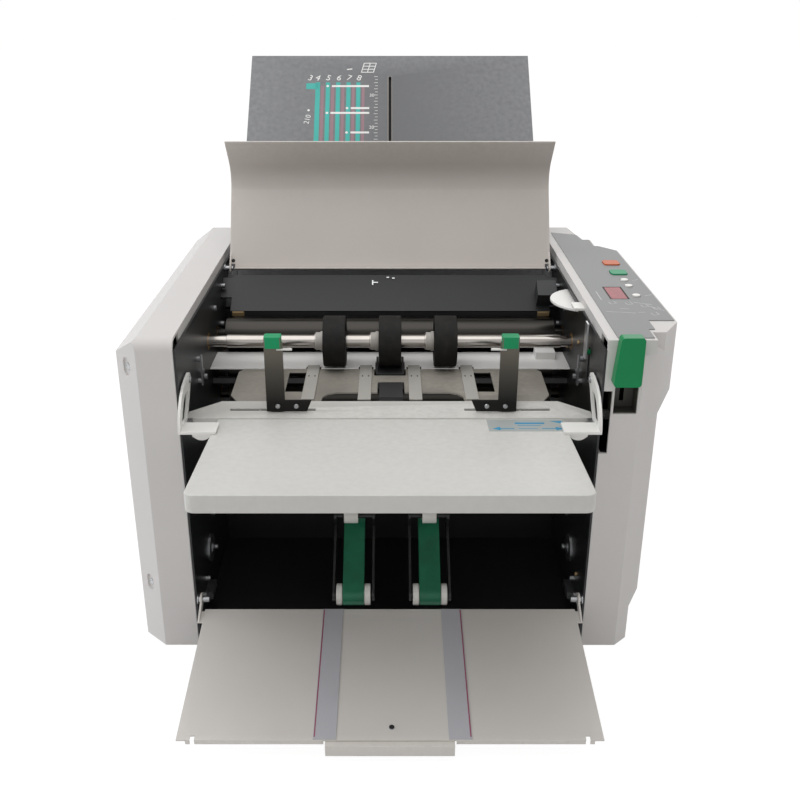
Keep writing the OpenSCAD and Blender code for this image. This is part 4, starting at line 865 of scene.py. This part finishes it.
# Middle x and width of the teal bars; each has a rose band at its right side.
TEAL_BARS = [(-95, 6.1), (-81.6, 5.4), (-68.2, 5.4), (-54.6, 5.4), (-41.6, 5.4)]
SCALE_FOOT, SCALE_TOP = 226, 362
SLOT_FOOT, SLOT_HEAD = 265, 372              # the part of the stop's slot that has a rim
on_plate(strokes([rectangle(x - w / 2, x + w / 2, SCALE_FOOT, SCALE_TOP) for x, w in TEAL_BARS]
                 + [rectangle(-110.2, -91.95, 351, 360.5)]), "scale_teal_bars", TEAL_INK)
on_plate(strokes([rectangle(x + 4.4, x + 8.2, SCALE_FOOT, SCALE_TOP - 6) for x, _ in TEAL_BARS]),
         "scale_rose_bars", DULL_ROSE)
# White marks: height on the plate, left end, right end and the middle of the dot.
MARKS = [(355.8, -76.5, -27.7, -82), (312.8, -77.5, -27, -82), (320.4, -51, -27, -56),
         (282, -51, -27, -56)]
marks = [rectangle(x0, x1, y - 1.5, y + 1.5) for y, x0, x1, _ in MARKS]
marks += [round_outline(dot, y, 1.75) for y, _, _, dot in MARKS]
marks += [round_outline(-106, 317, 1.6), line_outline((-57, 383), (-50, 384), 1.6)]
# A slanted chart of two columns and three rows above the scale.
marks += [line_outline((-38 - dx, 378), (-34 - dx, 394), 1.1) for dx in (-16, -8, 0)]
marks += [line_outline((-38 + dy / 4, 378 + dy), (-22 + dy / 4, 378 + dy), 1.1)
          for dy in (0.5, 5.5, 10.5, 15.5)]
on_plate(strokes(marks, INK), "scale_size_marks", WHITE_INK)
# A tick every 5 mm, every second one long.
on_plate(strokes([rectangle(-21 if i % 2 == 0 else -19.5, -16, 371.2 - 5 * i, 371.8 - 5 * i)
                  for i in range(29)]), "scale_ticks", WHITE_INK)
# A pale line along each edge of the slot.
on_plate(strokes([rectangle(-2.9, -2.05, SLOT_FOOT, SLOT_HEAD),
                  rectangle(2.05, 2.6, SLOT_FOOT, SLOT_HEAD)]), "slot_rims", RIM_INK)
on_plate(printed([rectangle(-6, 6, 240, 374)], BACK_SHEET - SUNK, BACK_SHEET + 0.05),
         "slot_shade", DARK_HOLE)


def printed_number(name, digits, x, y, size, turn=0.0):
    """A plain number in the standard font, as thin closed ink."""
    data = bpy.data.curves.new(name, "FONT")
    data.body = digits
    data.size = size * FONT_SCALE / 1000
    data.extrude = INK / 2000
    data.align_x = "CENTER"
    text = bpy.data.objects.new(name, data)
    bpy.context.scene.collection.objects.link(text)
    spot = Matrix.Translation(Vector((x, y, PLATE_TOP + INK / 2)) / 1000)
    text.matrix_world = plate_frame @ spot @ Matrix.Rotation(turn, 4, "Z")
    data.materials.append(WHITE_INK)
    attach(text, "chassis")


# The numbers 3 to 8 above the bars, 30 and 20 at the ticks, and one number up the left side.
for i, x in enumerate((-106.3, -96.4, -82.4, -68.4, -55.2, -42)):
    printed_number(f"scale_number_{i}", str(i + 3), x, 365.5, 9, -0.35)
for i, y in enumerate((339, 288)):
    printed_number(f"scale_length_{i}", str(30 - 10 * i), -23.8, y, 4.8)
printed_number("scale_side_number", "210", -104, 302, 7, math.radians(78))


# ---------- control panel print ----------

PANEL_TOP = 336.8
panel_frame = Matrix.Translation(at(0, 0, PANEL_TOP))


def on_panel(name, outlines, ink):
    """A print on the control panel."""
    piece(name, "chassis", "overlay_film", ink, printed(outlines, -SUNK, INK), panel_frame)


def sheet_symbol(x, y, size):
    """A folded sheet drawn with three strokes."""
    return [line_outline((x, y), (x + size, y + size * 0.4), 0.7),
            line_outline((x + size, y + size * 0.4), (x + size * 0.7, y + size * 1.6), 0.7),
            line_outline((x, y), (x - size * 0.2, y + size * 1.2), 0.7)]


# Where the sheet symbols stand, then the ends of the straight strokes.
panel_marks = []
for x, y in ((222, 106), (238, 104), (252, 96), (262, 88), (256, 70)):
    panel_marks += sheet_symbol(x, y, 6)
for ends in (((212, 82), (240, 77)), ((243, 79), (250, 79)), ((262, 134), (270, 138)),
             ((262, 190), (269, 194)), ((215, 120), (215, 150)), ((246, 112), (262, 104)),
             ((258, 100), (270, 84)), ((228, 92), (236, 90))):
    panel_marks.append(line_outline(*ends, 0.9))
on_panel("panel_line_symbols", panel_marks, PALE_INK)
on_panel("panel_window_rim", [rectangle(224.6, 226, 122.6, 166.4),
                              rectangle(243, 244.4, 122.6, 166.4),
                              rectangle(226, 243, 122.6, 124),
                              rectangle(226, 243, 165, 166.4)], DARK_HOLE)


# ---------- tray strips ----------

TRAY_LEAN = 8.2          # degrees, down towards the front
tray_frame = Matrix.Translation(at(0, 4, 55)) @ Matrix.Rotation(math.radians(TRAY_LEAN), 4, "X")
STRIP_TOP = -6.5         # below the tray's pins
# A rose line along the outer edge of each strip.
for name, x in (("left", -66.6), ("right", 71.1)):
    piece(f"tray_{name}_line", "delivery_tray", "strip_grey", ROSE_INK,
          printed([rectangle(-0.6, 0.6, -168, -8.5)], STRIP_TOP - SUNK, STRIP_TOP + INK),
          tray_frame @ Matrix.Translation(Vector((x, 0, 0)) / 1000))

SCREW_TOP = -6.3
piece("tray_stop_screw", "delivery_tray", "strip_grey", DARK_HOLE, screw_head(2.4, cross=True),
      tray_frame @ Matrix.Translation(Vector((1.5, -157.5, SCREW_TOP)) / 1000)
      @ Matrix.Scale(0.4, 4, (0, 0, 1)))


# ---------- label on the feed table ----------

TABLE_LEAN = -3.8        # degrees, up towards the front
LABEL_FILM_MM = 0.1
table_frame = (Matrix.Translation(at(0, 20, 249))
               @ Matrix.Rotation(math.radians(TABLE_LEAN), 4, "X"))


def on_table(name, outlines, ink, lift):
    """Film or ink on the feed table, at a height above its top."""
    piece(name, "feed_table", "table_enamel", ink,
          printed(outlines, lift, lift + LABEL_FILM_MM), table_frame)


on_table("table_label", [rectangle(92, 166, -33, -2)], LABEL_FILM, -SUNK)
arrows = [[(96, -26), (103, -21.5), (103, -30.5)], [(162, -26), (155, -21.5), (155, -30.5)],
          line_outline((102, -26), (116, -26), 1.8), line_outline((142, -26), (156, -26), 1.8),
          line_outline((120, -26), (138, -26), 1), line_outline((118, -12), (146, -12), 4),
          line_outline((120, -18), (142, -18), 1.2), [(152, -6), (163, -6), (163, -13)]]
on_table("table_label_arrows", arrows, BLUE_INK, 0.07)


# ---------- last update of the scene ---

bpy.context.view_layer.update()
